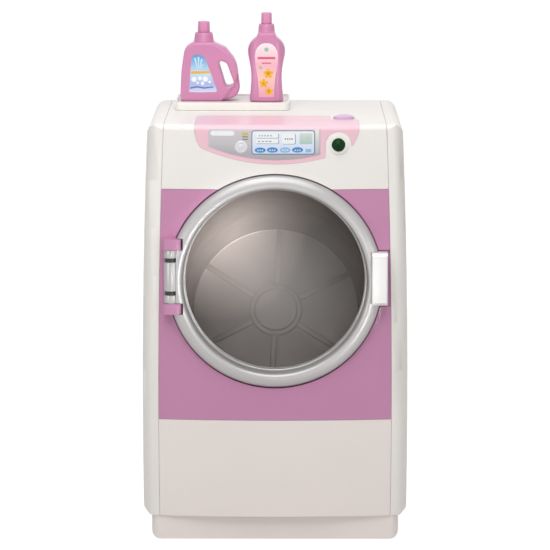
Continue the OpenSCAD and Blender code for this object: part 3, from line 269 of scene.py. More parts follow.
@dataclass(frozen=True)
class MetalFinish(Finish):
    """A bare or sprayed metal surface, which keeps the default IOR."""

    def look(self, tree: Tree, place: Socket) -> dict[str, float | Socket]:
        """Inputs of the surface shader, without those that a metal leaves alone.

        Args:
            tree: Node tree of the material.
            place: Place on the piece.

        Returns:
            A value or a socket for each input.
        """
        inputs = super().look(tree, place)
        del inputs["IOR"], inputs["Specular IOR Level"]
        return inputs


@dataclass(frozen=True)
class ClearFinish(Finish):
    """Clear moulded sheet: thin, so light passes straight through it."""

    alpha: float = 0.1

    def look(self, tree: Tree, place: Socket) -> dict[str, float | Socket]:
        """Inputs of the surface shader, with how much of the sheet is seen.

        Args:
            tree: Node tree of the material.
            place: Place on the piece.

        Returns:
            A value or a socket for each input.
        """
        return {
            "Base Color": self.colour_socket(tree, place),
            "Roughness": self.roughness,
            "IOR": self.ior,
            "Specular IOR Level": self.gloss,
            "Alpha": self.alpha,
            "Normal": self.bump_socket(tree, place),
        }


@dataclass(frozen=True)
class GradedFinish(Finish):
    """A printed film whose colour runs through several tones, from a low level to a high one."""

    stops: tuple[tuple[float, str], ...] = ()
    low_mm: float = 0.0
    high_mm: float = 1.0

    def colour_socket(self, tree: Tree, place: Socket) -> Socket:
        """Colour by the height on the piece.

        Args:
            tree: Node tree of the material.
            place: Place on the piece.

        Returns:
            The colour.
        """
        split = add_node(tree, "ShaderNodeSeparateXYZ", {"Vector": place})
        share = add_node(tree, "ShaderNodeMapRange", {
            "Value": split.outputs["Z"], "From Min": self.low_mm * MM,
            "From Max": self.high_mm * MM})
        ramp = add_node(tree, "ShaderNodeValToRGB", {"Fac": share.outputs["Result"]},
                        stops=self.stops)
        return ramp.outputs["Color"]


# ABS, injection moulded in a fine blasted tool: even and satin, with a very faint waviness
WHITE_ABS = Finish(
    "white_abs", "#f4f0eb", "#f2eee9", roughness=0.42, coat=0.04, grain_mm=6.0,
    grain_height_mm=0.002,
)
# White ABS tinted pink on the front panel and the plinth: painted bounce light from the mauve
# panel
PINK_BOUNCE_ABS = Finish(
    "white_abs_painted_pink_bounce", "#f5ece7", "#f3eae5", roughness=0.42, coat=0.04, grain_mm=6.0,
    grain_height_mm=0.002,
)
# The same plastic with a mauve pigment: as even and as satin as the white
MAUVE_ABS = Finish(
    "mauve_abs", "#c98cb1", "#c78aaf", roughness=0.4, coat=0.04, grain_mm=6.0,
    grain_height_mm=0.002,
)
# Paler pink ABS, a little glossier than the cabinet
PINK_ABS = Finish(
    "pale_pink_abs", "#f2c8d5", "#f1c6d3", roughness=0.36, coat=0.08, grain_mm=6.0,
    grain_height_mm=0.002,
)
# Polished lilac ABS of the button: a soft highlight on its dome
LILAC_ABS = Finish("lilac_abs", "#d9b9dc", "#d7b6da", roughness=0.26, coat=0.2)
# Whiter and glossier ABS: the handle stands out from the cabinet
HANDLE_ABS = Finish("handle_abs", "#fdfcfa", "#fcfbf9", roughness=0.3, coat=0.2)
# Sprayed silver on ABS: fine flakes under a clear coat, more pigment than mirror, and flat
SILVER_PAINT = MetalFinish(
    "silver_paint", "#b6b4b4", "#b2b0b0", roughness=0.34, metallic=0.36, coat=0.1,
    grain_mm=5.0, grain_height_mm=0.0,
)
# Grey ABS with aluminium flakes in the melt: satin, with soft flow marks
DRUM_ABS = MetalFinish(
    "metallic_grey_abs", "#6b615c", "#665c58", roughness=0.42, metallic=0.12,
    grain_mm=4.0, grain_height_mm=0.002,
)
# Moulded grey polypropylene: dull and slightly waxy
TUB_PP = Finish("grey_pp", "#8a8784", "#83807d", roughness=0.5)
# Clear polycarbonate, formed to a low dome: seen only by a faint gloss
CLEAR_PC = ClearFinish(
    "clear_pc", "#e6e3e0", roughness=0.1, ior=1.58, gloss=0.05, alpha=0.022,
    grain_height_mm=0.0,
)
# Tinted SAN with a polished dome: dark, deep green and mirror smooth
GREEN_SAN = Finish("green_san", "#053f17", "#043312", roughness=0.08, gloss=0.1)
# Cast epoxy of the lamp: cloudy, so that its light spreads
MILKY_EPOXY = Finish("milky_epoxy", "#d8eeda", roughness=0.3)
# Blow moulded polyethylene with pigment: soft, waxy gloss
PINK_PE = Finish(
    "pink_pe", "#d38bb3", "#d087af", roughness=0.34, coat=0.12, grain_mm=3.0,
    grain_height_mm=0.006,
)
# Moulded polypropylene caps: a shade lighter than the bottles
CAP_PP = Finish("pink_pp", "#df96be", "#dc90ba", roughness=0.34)
# Moulded acetal of the gears: milky white with a dry sheen
ACETAL = Finish("acetal", "#e9e7e0", "#e2e0d8", roughness=0.42)
# Black nylon: deep and even, with a dull sheen; also laid in the hinge barrel's grooves as
# painted shade
BLACK_PA_AND_GROOVE_SHADE = Finish("black_pa_and_groove_shade", "#232324", roughness=0.45)
# Solder mask on glass fibre: green, with the weave just showing
BOARD_FR4 = Finish("green_fr4", "#2f7a4a", "#296f42", roughness=0.4, grain_mm=0.8)
# Zinc plated steel wire and screws: bright and slightly cloudy
STEEL = MetalFinish(
    "zinc_plated_steel", "#b4b7ba", "#a5a8ac", roughness=0.32, metallic=1.0, grain_mm=0.8
)
# Turned brass: yellow metal with an even sheen
BRASS = MetalFinish("turned_brass", "#c0a05a", "#b08f4a", roughness=0.3, metallic=1.0)
# Drawn and plated steel can of the motor: grey and smooth
MOTOR_CAN = MetalFinish("plated_can", "#a9acb0", "#9fa2a6", roughness=0.35, metallic=1.0)
# Shrunk PVC sleeve of the cells: one strong blue
CELL_SLEEVE = Finish("pvc_sleeve", "#3b69ad", "#345fa0", roughness=0.35)

# Polyester film of the display: grey and even, darker towards its foot
DISPLAY_FILM = GradedFinish(
    "display_film", "#c4c0c8", roughness=0.3, coat=0.3, low_mm=TOP_Z - 36.5,
    high_mm=TOP_Z - 3.5,
    stops=((0.0, "#aca4a8"), (0.35, "#b4b0b6"), (0.62, "#c6c4c7"), (1.0, "#d8ccd1")),
)
# Varnished screen print of the display's window: pale blue with a sharp gloss
WINDOW_INK = GradedFinish(
    "display_window", "#e9f0fb", roughness=0.18, coat=0.6, low_mm=TOP_Z - 26.5,
    high_mm=TOP_Z - 4.5, stops=((0.0, "#cfdcf6"), (0.5, "#e3ecfa"), (1.0, "#f6f9fd")),
)
# Screen print of the keys: lighter along the foot, so that they seem to stand out
BLUE_INK = GradedFinish(
    "blue_ink", "#3d86c6", roughness=0.3, coat=0.2, low_mm=TOP_Z - 24.9,
    high_mm=TOP_Z - 19.9, stops=((0.0, "#6fb2de"), (0.45, "#2f7dbd"), (1.0, "#3a8fcd")),
)
# Screen print of the picture field: a grey green that pales upwards
GREEN_INK = GradedFinish(
    "green_ink", "#bfd3cf", roughness=0.3, low_mm=TOP_Z - 18.5, high_mm=TOP_Z - 8.5,
    stops=((0.0, "#a9c8c6"), (1.0, "#d2dfd6")),
)
# Ink with fine flakes at the display's end, with a painted highlight: lighter towards the top,
# where it catches the light
SILVER_INK_HIGHLIT = GradedFinish(
    "silver_ink_painted_highlight", "#cfcfce", roughness=0.25, metallic=0.3, low_mm=TOP_Z - 31.5,
    high_mm=TOP_Z - 4.5, stops=((0.0, "#b4b4b8"), (0.6, "#cfcfce"), (1.0, "#f0eee8")),
)
# Plain screen printing inks: thin even films, the white one varnished
WHITE_INK = Finish("white_ink", "#f4f7f8", roughness=0.3, coat=0.3)
SLATE_INK = Finish("slate_ink", "#5d6b92", roughness=0.35)
SKY_INK = Finish("sky_ink", "#8fbfe2", roughness=0.3)
YELLOW_INK = Finish("yellow_ink", "#c9bf62", roughness=0.4)
DARK_INK = Finish("dark_ink", "#77767c", roughness=0.4)
# Ink with mica in it: a pearly shimmer over the dial
PEARL_INK = Finish("pearl_ink", "#e8e6ea", "#dcdbe2", roughness=0.28, coat=0.4, patch_mm=4.0)

# Offset inks on the coated paper of the labels: flat colours with a satin sheen
LABEL_ICE = Finish("label_ice", "#d3e8f6", roughness=0.35)
LABEL_AMBER = Finish("label_amber", "#eab845", roughness=0.35)
LABEL_WHITE = Finish("label_white", "#f3f7fb", roughness=0.35)
LABEL_INDIGO = Finish("label_indigo", "#6a76c4", roughness=0.35)
LABEL_RED = Finish("label_red", "#d8647f", roughness=0.35)
LABEL_MINT = Finish("label_mint", "#9cc3a6", roughness=0.35)
LABEL_YELLOW = Finish("label_yellow", "#f6bf1f", "#f2a91a", roughness=0.35, patch_mm=3.0)
LABEL_ORANGE = Finish("label_orange", "#dd7f1c", roughness=0.35)

Layer = tuple[str, Finish, int, Outlines]  # name, finish, number from below and outlines


@dataclass(frozen=True)
class Dressing:
    """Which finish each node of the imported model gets."""

    finishes: tuple[tuple[Finish, tuple[str, ...]], ...] = (
        (WHITE_ABS, ("side_shell_left", "side_shell_right", "top_cover", "back_panel", "tray",
                     "battery_box", "battery_cover")),
        # The lower front panel and the plinth carry painted pink bounce light
        (PINK_BOUNCE_ABS, ("lower_front_panel", "plinth")),
        (MAUVE_ABS, ("door_panel",)),
        (PINK_ABS, ("control_panel",)),
        (LILAC_ABS, ("start_button",)),
        (HANDLE_ABS, ("door_handle", "latch_hook")),
        (SILVER_PAINT, ("door_ring", "window_retainer")),
        (DRUM_ABS, ("drum_shell", "drum_hub_cap", "tub_collar")),
        (TUB_PP, ("tub",)),
        (CLEAR_PC, ("door_window",)),
        (GREEN_SAN, ("indicator_lens",)),
        (MILKY_EPOXY, ("indicator_led",)),
        (PINK_PE, ("detergent_bottle", "softener_bottle")),
        (CAP_PP, ("detergent_cap", "softener_cap")),
        (ACETAL, ("drum_gear", "idler_gear", "gearbox_plate")),
        (BLACK_PA_AND_GROOVE_SHADE, ("button_switch",)),
        (BOARD_FR4, ("circuit_board",)),
        (BRASS, ("shaft_bush", "motor_pinion")),
        (MOTOR_CAN, ("motor",)),
        (CELL_SLEEVE, ("batteries",)),
        (STEEL, ("board_screws", "tub_screws", "gearbox_screws", "idler_axle", "motor_screws",
                 "battery_contacts", "battery_cover_screw", "back_panel_screws", "hinge_pin",
                 "latch_catch", "retainer_screws", "drum_shaft", "drum_screws", "motor_shaft",
                 "button_spring")),
    )

    def apply(self, nodes: Nodes) -> None:
        """Gives every named node its finish.

        Args:
            nodes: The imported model's nodes by name.
        """
        for finish, names in self.finishes:
            for name in names:
                for slot in nodes[name].material_slots:
                    slot.material = finish.build()
                log.info("%s: %s", name, finish.name)


# ---------------------------------------------------------------- workshop


def clean_start() -> None:
    """Leaves edit mode and deselects everything."""
    if bpy.context.mode != "OBJECT":
        bpy.ops.object.mode_set(mode="OBJECT")
    bpy.ops.object.select_all(action="DESELECT")


def pick(*pieces: Piece) -> None:
    """Selects only these pieces and makes the last one active.

    Args:
        *pieces: The pieces.
    """
    clean_start()
    for piece in pieces:
        piece.select_set(True)
    bpy.context.view_layer.objects.active = pieces[-1]


def settle(piece: Piece, name: str) -> Piece:
    """Names a piece and puts its place into its mesh.

    Args:
        piece: The piece to settle.
        name: Its name.

    Returns:
        The same piece, at the origin, unturned and unscaled.
    """
    pick(piece)
    bpy.ops.object.transform_apply(location=True, rotation=True, scale=True)
    piece.name = name
    piece.data.name = name
    return piece


def edit(piece: Piece, work: Callable[[], None]) -> None:
    """Runs edit mode operators on a whole piece.

    Args:
        piece: The piece to edit.
        work: What to do in edit mode, with everything selected.
    """
    pick(piece)
    bpy.ops.object.mode_set(mode="EDIT")
    bpy.ops.mesh.select_all(action="SELECT")
    work()
    bpy.ops.object.mode_set(mode="OBJECT")


def modify(piece: Piece, kind: str, **settings) -> None:
    """Adds a modifier and applies it.

    Args:
        piece: The piece to change.
        kind: Blender's name of the modifier type.
        **settings: Properties of the modifier.
    """
    pick(piece)
    modifier = piece.modifiers.new(kind.lower(), kind)
    for key, value in settings.items():
        setattr(modifier, key, value)
    bpy.ops.object.modifier_apply(modifier=modifier.name)


def smooth(piece: Piece, degrees: float = 35.0) -> None:
    """Shades a piece smooth across edges flatter than this many degrees."""
    pick(piece)
    bpy.ops.object.shade_smooth_by_angle(angle=math.radians(degrees))


def outward() -> None:
    """Edit mode step: merges doubles and turns the faces outwards."""
    bpy.ops.mesh.remove_doubles(threshold=MERGE_M)
    bpy.ops.mesh.normals_make_consistent(inside=False)


def draw(points: Sequence[Point]) -> None:
    """Edit mode step: shrinks the plane to a point and draws a line from it.

    Args:
        points: The line in the x-z plane, in mm.
    """
    bpy.ops.mesh.merge(type="CENTER")
    bpy.ops.transform.translate(value=Vector((points[0][0], 0, points[0][1])) * MM)
    for (x0, z0), (x1, z1) in zip(points, points[1:]):
        bpy.ops.mesh.extrude_region_move(
            TRANSFORM_OT_translate={"value": Vector((x1 - x0, 0, z1 - z0)) * MM}
        )
    bpy.ops.mesh.select_all(action="SELECT")


def turned(
    name: str,
    profile: Sequence[Point],
    place: Place,
    facing: Facing = Facing.UP,
    steps: int = 96,
) -> Piece:
    """Turns a closed or open profile about its axis, as on a lathe.

    Args:
        name: Name of the piece.
        profile: Radius and height of each point in mm, from one end to the other.
        place: Where the axis starts, in mm.
        facing: Direction of the axis.
        steps: Number of segments round the axis.

    Returns:
        The turned piece.
    """
    clean_start()
    bpy.ops.mesh.primitive_plane_add(size=MM)
    piece = bpy.context.object

    def spin() -> None:
        """Edit mode step: draws the profile and spins it."""
        draw(profile)
        bpy.ops.mesh.spin(
            steps=steps, angle=2 * math.pi, center=(0, 0, 0), axis=(0, 0, 1), use_auto_merge=True
        )
        bpy.ops.mesh.select_all(action="SELECT")
        outward()

    edit(piece, spin)
    piece.rotation_euler = Euler(facing.value)
    piece.location = Vector(place) * MM
    settle(piece, name)
    smooth(piece)
    return piece


def flat_shape(points: Sequence[Point]) -> Piece:
    """A flat face in the x-z plane with the given outline, in mm.

    Args:
        points: The outline, in order.

    Returns:
        The face as a piece.
    """
    clean_start()
    bpy.ops.mesh.primitive_plane_add(size=MM)
    piece = bpy.context.object

    def trace() -> None:
        """Edit mode step: draws the outline and fills it."""
        draw(points)
        bpy.ops.mesh.edge_face_add()

    edit(piece, trace)
    return piece


def rounded_box(x: float, z: float, w: float, h: float, r: float) -> list[Point]:
    """Outline of a rounded rectangle, in mm.

    Args:
        x: Place of its middle.
        z: Level of its middle.
        w: Width.
        h: Height.
        r: Radius of the corners.

    Returns:
        The outline, anticlockwise.
    """
    return [
        (x + sx * (w / 2 - r) + r * math.cos(math.radians(start + turn)),
         z + sz * (h / 2 - r) + r * math.sin(math.radians(start + turn)))
        for sx, sz, start in ((1, 1, 0), (-1, 1, 90), (-1, -1, 180), (1, -1, 270))
        for turn in range(0, 91, ARC_STEP)
    ]


def ellipse(
    x: float, z: float, rx: float, rz: float, turn: float = 0.0, steps: int = 40
) -> list[Point]:
    """Outline of an ellipse, in mm.

    Args:
        x: Place of its middle.
        z: Level of its middle.
        rx: Half its width.
        rz: Half its height.
        turn: Degrees that it is turned by.
        steps: Number of points.

    Returns:
        The outline, anticlockwise.
    """
    c, s = math.cos(math.radians(turn)), math.sin(math.radians(turn))
    points = []
    for step in range(steps):
        a = 2 * math.pi * step / steps
        u, v = rx * math.cos(a), rz * math.sin(a)
        points.append((x + u * c - v * s, z + u * s + v * c))
    return points


def hull(discs: Iterable[Disc]) -> list[Point]:
    """Outline of a band pulled tight round some discs, in mm, anticlockwise.

    Args:
        discs: The discs.

    Returns:
        The outline.
    """
    points = sorted(
        (x + r * math.cos(math.radians(a)), z + r * math.sin(math.radians(a)))
        for x, z, r in discs
        for a in range(0, 360, DISC_STEP)
    )

    def half(run: Iterable[Point]) -> list[Point]:
        """One side of the band.

        Args:
            run: All the points, sorted.

        Returns:
            The points that the band touches.
        """
        side: list[Point] = []
        for x, z in run:
            while len(side) > 1 and (
                (side[-1][0] - side[-2][0]) * (z - side[-2][1])
                - (side[-1][1] - side[-2][1]) * (x - side[-2][0])
            ) <= 0:
                side.pop()
            side.append((x, z))
        return side[:-1]

    return half(points) + half(reversed(points))


def laid_print(
    name: str,
    outlines: Iterable[Sequence[Point]],
    surface: Piece,
    start_y: float,
    lift: float,
    thick: float = 0.04,
    cut: float = 2.0,
) -> Piece:
    """Thin printed shapes that lie on a curved surface seen from the front.

    Args:
        name: Name of the piece.
        outlines: Outlines of the shapes in mm.
        surface: The piece that they lie on.
        start_y: Level in front of the surface, in mm.
        lift: Height of the print over the surface, in mm.
        thick: Thickness of the print, in mm.
        cut: Distance of the cuts that let the shapes follow the surface, in mm.

    Returns:
        One piece that holds all the shapes.
    """
    outlines = list(outlines)
    parts = [flat_shape(points) for points in outlines]
    pick(*parts)
    if len(parts) > 1:
        bpy.ops.object.join()
    piece = bpy.context.object
    for axis, normal in ((0, Vector((1, 0, 0))), (1, Vector((0, 0, 1)))):
        values = [point[axis] for points in outlines for point in points]
        for step in range(1, math.ceil((max(values) - min(values)) / cut)):
            place = normal * ((min(values) + step * cut) * MM)
            edit(piece, lambda co=place, no=normal: bpy.ops.mesh.bisect(plane_co=co, plane_no=no))
    edit(piece, lambda: bpy.ops.transform.translate(value=Vector((0, start_y, 0)) * MM))
    modify(piece, "SHRINKWRAP", target=surface, wrap_method="PROJECT", use_project_y=True,
           use_positive_direction=True, use_negative_direction=False)
    edit(piece, lambda: bpy.ops.transform.translate(value=Vector((0, -lift, 0)) * MM))
    modify(piece, "SOLIDIFY", thickness=thick * MM, offset=0.0)
    edit(piece, outward)
    settle(piece, name)
    smooth(piece, 30)
    return piece


def cap_profile(
    low_r: float, high_r: float, height: float, edge: float = 1.0, chamfer: Point = (0.3, 0.5)
) -> list[Point]:
    """Radius and height of a cap's outline, from the top's middle to the underside's.

    Args:
        low_r: Radius at the foot, in mm.
        high_r: Radius under the rounded top edge, in mm.
        height: Height of the cap, in mm.
        edge: Radius of the top edge, in mm.
        chamfer: Width and height of the chamfer at the foot, in mm.

    Returns:
        The outline for a lathe.
    """
    turns = [math.radians(90 - turn) for turn in range(0, 91, ARC_STEP)]
    round_edge = [(high_r - edge + edge * math.cos(a), height - edge + edge * math.sin(a))
                  for a in turns]
    return [(0.0, height), (high_r / 2, height), *round_edge, (low_r, chamfer[1]),
            (low_r - chamfer[0], 0.0), (0.0, 0.0)]


def block(low: Place, high: Place) -> Piece:
    """A box to cut with.

    Args:
        low: Its lowest corner, in mm.
        high: Its highest corner, in mm.

    Returns:
        The box.
    """
    clean_start()
    bpy.ops.mesh.primitive_cube_add(size=1.0)
    piece = bpy.context.object
    piece.scale = (Vector(high) - Vector(low)) * MM
    piece.location = (Vector(high) + Vector(low)) * MM / 2
    return settle(piece, "tool_block")


def combine(piece: Piece, tool: Piece, operation: str) -> None:
    """Cuts a piece with a tool, or keeps what lies in it, and removes the tool.

    Args:
        piece: The piece to change.
        tool: The tool.
        operation: Blender's name of the operation.
    """
    modify(piece, "BOOLEAN", object=tool, operation=operation, solver="EXACT")
    pick(tool)
    bpy.ops.object.delete()


def softened(
    name: str,
    node: Piece,
    width: float,
    segments: int = 3,
    angle: float = 32.0,
    first: Callable[[], None] | None = None,
) -> Piece:
    """A copy of a node with rounded edges.

    Args:
        name: Name of the copy.
        node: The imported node.
        width: Width of the rounding, in mm.
        segments: Segments of the rounding.
        angle: Edges sharper than this many degrees are rounded.
        first: What to do in edit mode before the rounding.

    Returns:
        The rounded copy.
    """
    pick(node)
    bpy.ops.object.duplicate()
    piece = bpy.context.object
    piece.parent = None

    def mend() -> None:
        """Edit mode step: joins the loose triangles and their flat neighbours."""
        bpy.ops.mesh.remove_doubles(threshold=NODE_MERGE_M)
        bpy.ops.mesh.dissolve_limited(angle_limit=math.radians(FLAT_DEG))

    edit(piece, mend)
    if first:
        edit(piece, first)
    modify(piece, "BEVEL", width=width * MM, segments=segments, limit_method="ANGLE",
           angle_limit=math.radians(angle), use_clamp_overlap=True, harden_normals=False)
    settle(piece, name)
    smooth(piece, 30)
    return piece


def finish_piece(
    piece: Piece, finish: Finish, body: str, replaced: Sequence[str] = ()
) -> Piece:
    """Dresses a finished piece and says what it is to the frame.

    Args:
        piece: The piece.
        finish: Its finish.
        body: The body that it rides on.
        replaced: Nodes that it stands for.

    Returns:
        The same piece.
    """
    piece.data.materials.clear()
    piece.data.materials.append(finish.build())
    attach(piece, body)
    if replaced:
        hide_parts(*replaced)
    log.info("%s: %s on %s", piece.name, finish.name, body)
    return piece


def lay_layers(
    layers: Iterable[Layer], surface: Piece, start_y: float, body: str, origin: Point
) -> None:
    """Lays printed layers on a piece and dresses them.

    Args:
        layers: The layers from the lowest up.
        surface: The piece that they lie on.
        start_y: Level in front of the surface, in mm.
        body: The body that they ride on.
        origin: Place across and level that their outlines are measured from, in mm.
    """
    for name, finish, level, outlines in layers:
        placed = [[(origin[0] + x, origin[1] + z) for x, z in outline] for outline in outlines]
        piece = laid_print(name, placed, surface, start_y, INK_LIFT * level)
        finish_piece(piece, finish, body)


# ---------------------------------------------------------------- sub-assemblies


@dataclass
class Handle:
    """Door handle with soft moulded edges, clear of the side of its pocket."""

    rounding: float = 0.7
    end: float = 101.9

    def build(self, nodes: Nodes) -> None:
        """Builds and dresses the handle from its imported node."""
        piece = softened("handle_grip", nodes["door_handle"], self.rounding, first=self.shorten)
        finish_piece(piece, HANDLE_ABS, "door", ["door_handle"])

    def shorten(self) -> None:
        """Edit mode step: ends the handle just before the side of its pocket."""
        bpy.ops.mesh.bisect(plane_co=(self.end * MM, 0, 0), plane_no=(1, 0, 0), use_fill=True,
                            clear_outer=True)


@dataclass
class DoorRing:
    """Sprayed ring of the door with its hinge barrel; black cores in the barrel's two grooves are
    painted shade.

    The section is the radius and the height off the front of each point, from the inner edge
    over the face to the back. The brackets' rooms reach in from outside the ring.
    """

    section: tuple[Point, ...] = (
        (82.8, -12.8), (82.6, -12.2), (82.3, -11.6), (82.3, -10.8), (82.55, -10.2),
        (83.15, -9.9), (83.9, -0.5), (83.97, 0.5), (84.15, 1.5), (84.5, 2.5), (85.1, 3.5),
        (85.9, 4.3), (86.9, 4.8), (88.0, 5.0), (89.5, 4.92), (91.0, 4.66), (92.5, 4.22),
        (94.0, 3.55), (95.3, 2.75), (96.3, 1.75), (97.0, 0.5), (97.3, -1.0), (97.3, -6.4),
        (86.0, -8.4), (86.0, -12.8), (82.8, -12.8),
    )
    hinge_x: float = -94.5
    barrel: tuple[float, float] = (220.85, 269.45)
    barrel_r: float = 6.3
    barrel_room: float = 6.6
    barrel_edge: float = 0.35
    barrel_ends: float = 0.2
    room_ends: float = 1.0
    bracket_height: float = 10.4
    bracket_reach: float = 11.2
    bracket_depth: tuple[float, float] = (-150.0, -90.0)
    outside: float = -130.0
    collar: float = 7.2
    groove: float = 4.0
    shade_core_r: float = 5.3
    groove_gap: float = 0.05

    def build(self, nodes: Nodes) -> None:
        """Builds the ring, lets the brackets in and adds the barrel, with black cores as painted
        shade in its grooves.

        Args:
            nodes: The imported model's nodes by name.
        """
        low, high = self.barrel
        ring = turned("door_ring_turned", self.section, (0, FRONT_Y, DOOR_Z), Facing.FRONT,
                      FINE_STEPS)
        front, back = self.bracket_depth
        for foot in (low - self.bracket_height, high):
            room = block((self.outside, front, foot),
                         (self.hinge_x + self.bracket_reach, back, foot + self.bracket_height))
            combine(ring, room, "DIFFERENCE")
        room = self.rod("barrel_room", self.barrel_room, low - self.room_ends,
                        high + self.room_ends)
        combine(ring, room, "DIFFERENCE")
        barrel = softened("hinge_barrel", nodes["door_ring"], self.barrel_edge)
        keep = self.rod("barrel_keep", self.barrel_r, low - self.barrel_ends,
                        high + self.barrel_ends)
        combine(barrel, keep, "INTERSECT")
        smooth(barrel, 30)
        smooth(ring, 35)
        for piece in (ring, barrel):
            finish_piece(piece, SILVER_PAINT, "door", ["door_ring"])
        # Painted shade: a black core fills each groove of the barrel, where there is only shadow
        for step, foot in enumerate((low + self.collar, high - self.collar - self.groove)):
            groove_shade = self.rod(f"hinge_groove_shade_{step}", self.shade_core_r, foot + self.groove_gap,
                            foot + self.groove - self.groove_gap)
            finish_piece(groove_shade, BLACK_PA_AND_GROOVE_SHADE, "door")

    def rod(self, name: str, radius: float, low: float, high: float) -> Piece:
        """A plain rod on the hinge axis between two levels, in mm."""
        profile = [(0.0, 0.0), (radius, 0.0), (radius, high - low), (0.0, high - low)]
        return turned(name, profile, (self.hinge_x, FRONT_Y, low))


@dataclass
class Drum:
    """Moulded drum with soft ribs and a hub ring on its back wall.

    The edges of the hub ring, the corner and the lip are each a radius past the one named and
    a height off the back wall or the mouth.
    """

    mouth: Place = (0.0, -71.5, 231.7)
    depth: float = 130.0
    mouth_r: float = 90.0
    back_r: float = 79.0
    wall: float = 2.0
    hub: tuple[float, float] = (20.2, 24.8)
    hub_edge: tuple[Point, ...] = ((-1.0, 0.0), (-0.5, 0.1), (0.2, 0.6), (0.7, 0.7))
    corner: tuple[Point, ...] = ((-0.9, 0.0), (-0.4, 0.13), (-0.07, 0.45), (0.08, 1.0))
    lip: tuple[Point, ...] = (
        (0.0, 2.0), (-0.2, 0.8), (0.15, 0.0), (1.0, -0.4), (1.85, 0.0), (2.2, 0.8), (2.0, 2.0),
    )
    ribs: int = 6
    first_rib: float = -87.0
    rib_height: float = 0.7
    rib_width: float = 5.4
    rib_round: float = 0.65
    rib_start: float = 0.2

    def build(self) -> None:
        """Builds the bowl and its ribs and dresses them."""
        for piece in (self.bowl(), self.rib_star()):
            finish_piece(piece, DRUM_ABS, "drum", ["drum_shell"])

    def bowl(self) -> Piece:
        """The bowl with the hub ring on its back wall.

        Returns:
            The bowl at its place.
        """
        inner, outer = self.hub
        end = self.depth
        profile = [
            (0.0, end),
            *((inner + r, end - z) for r, z in self.hub_edge),
            *((outer - r, end - z) for r, z in reversed(self.hub_edge)),
            *((self.back_r + r, end - z) for r, z in self.corner),
            *((self.mouth_r + r, z) for r, z in self.lip),
            (self.back_r + self.wall, end + self.wall),
            (0.0, end + self.wall),
        ]
        return turned("drum_bowl", profile, self.mouth, Facing.DRUM, FINE_STEPS)

    def rib_star(self) -> Piece:
        """The ribs of the back wall, modelled once and copied round the hub.

        Returns:
            All the ribs as one piece.
        """
        reach = self.back_r - self.hub[1]
        clean_start()
        bpy.ops.mesh.primitive_cube_add(size=1.0)
        rib = bpy.context.object
        rib.scale = Vector((reach, self.rib_width, 2 * self.rib_height)) * MM
        settle(rib, "drum_rib")
        modify(rib, "BEVEL", width=self.rib_round * MM, segments=4, limit_method="ANGLE")
        rib.location = Vector((self.hub[1] + reach / 2 + self.rib_start, 0, self.depth)) * MM
        settle(rib, "drum_rib")
        star = []
        for step in range(self.ribs):
            pick(rib)
            bpy.ops.object.duplicate()
            copy = bpy.context.object
            angle = self.first_rib + step * 360 / self.ribs
            copy.rotation_euler = Euler((0, 0, math.radians(angle)))
            settle(copy, "drum_rib")
            copy.rotation_euler = Euler(Facing.DRUM.value)
            copy.location = Vector(self.mouth) * MM
            star.append(settle(copy, "drum_rib"))
        pick(rib)
        bpy.ops.object.delete()
        pick(*star)
        bpy.ops.object.join()
        piece = settle(bpy.context.object, "drum_ribs")
        smooth(piece, 40)
        return piece


@dataclass
class Tray:
    """Tray on the top, whose edges are rounded as the mould leaves them."""

    rounding: float = 0.7

    def build(self, nodes: Nodes) -> None:
        """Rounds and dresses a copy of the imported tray."""
        piece = softened("tray_soft", nodes["tray"], self.rounding)
        finish_piece(piece, WHITE_ABS, "cabinet", ["tray"])


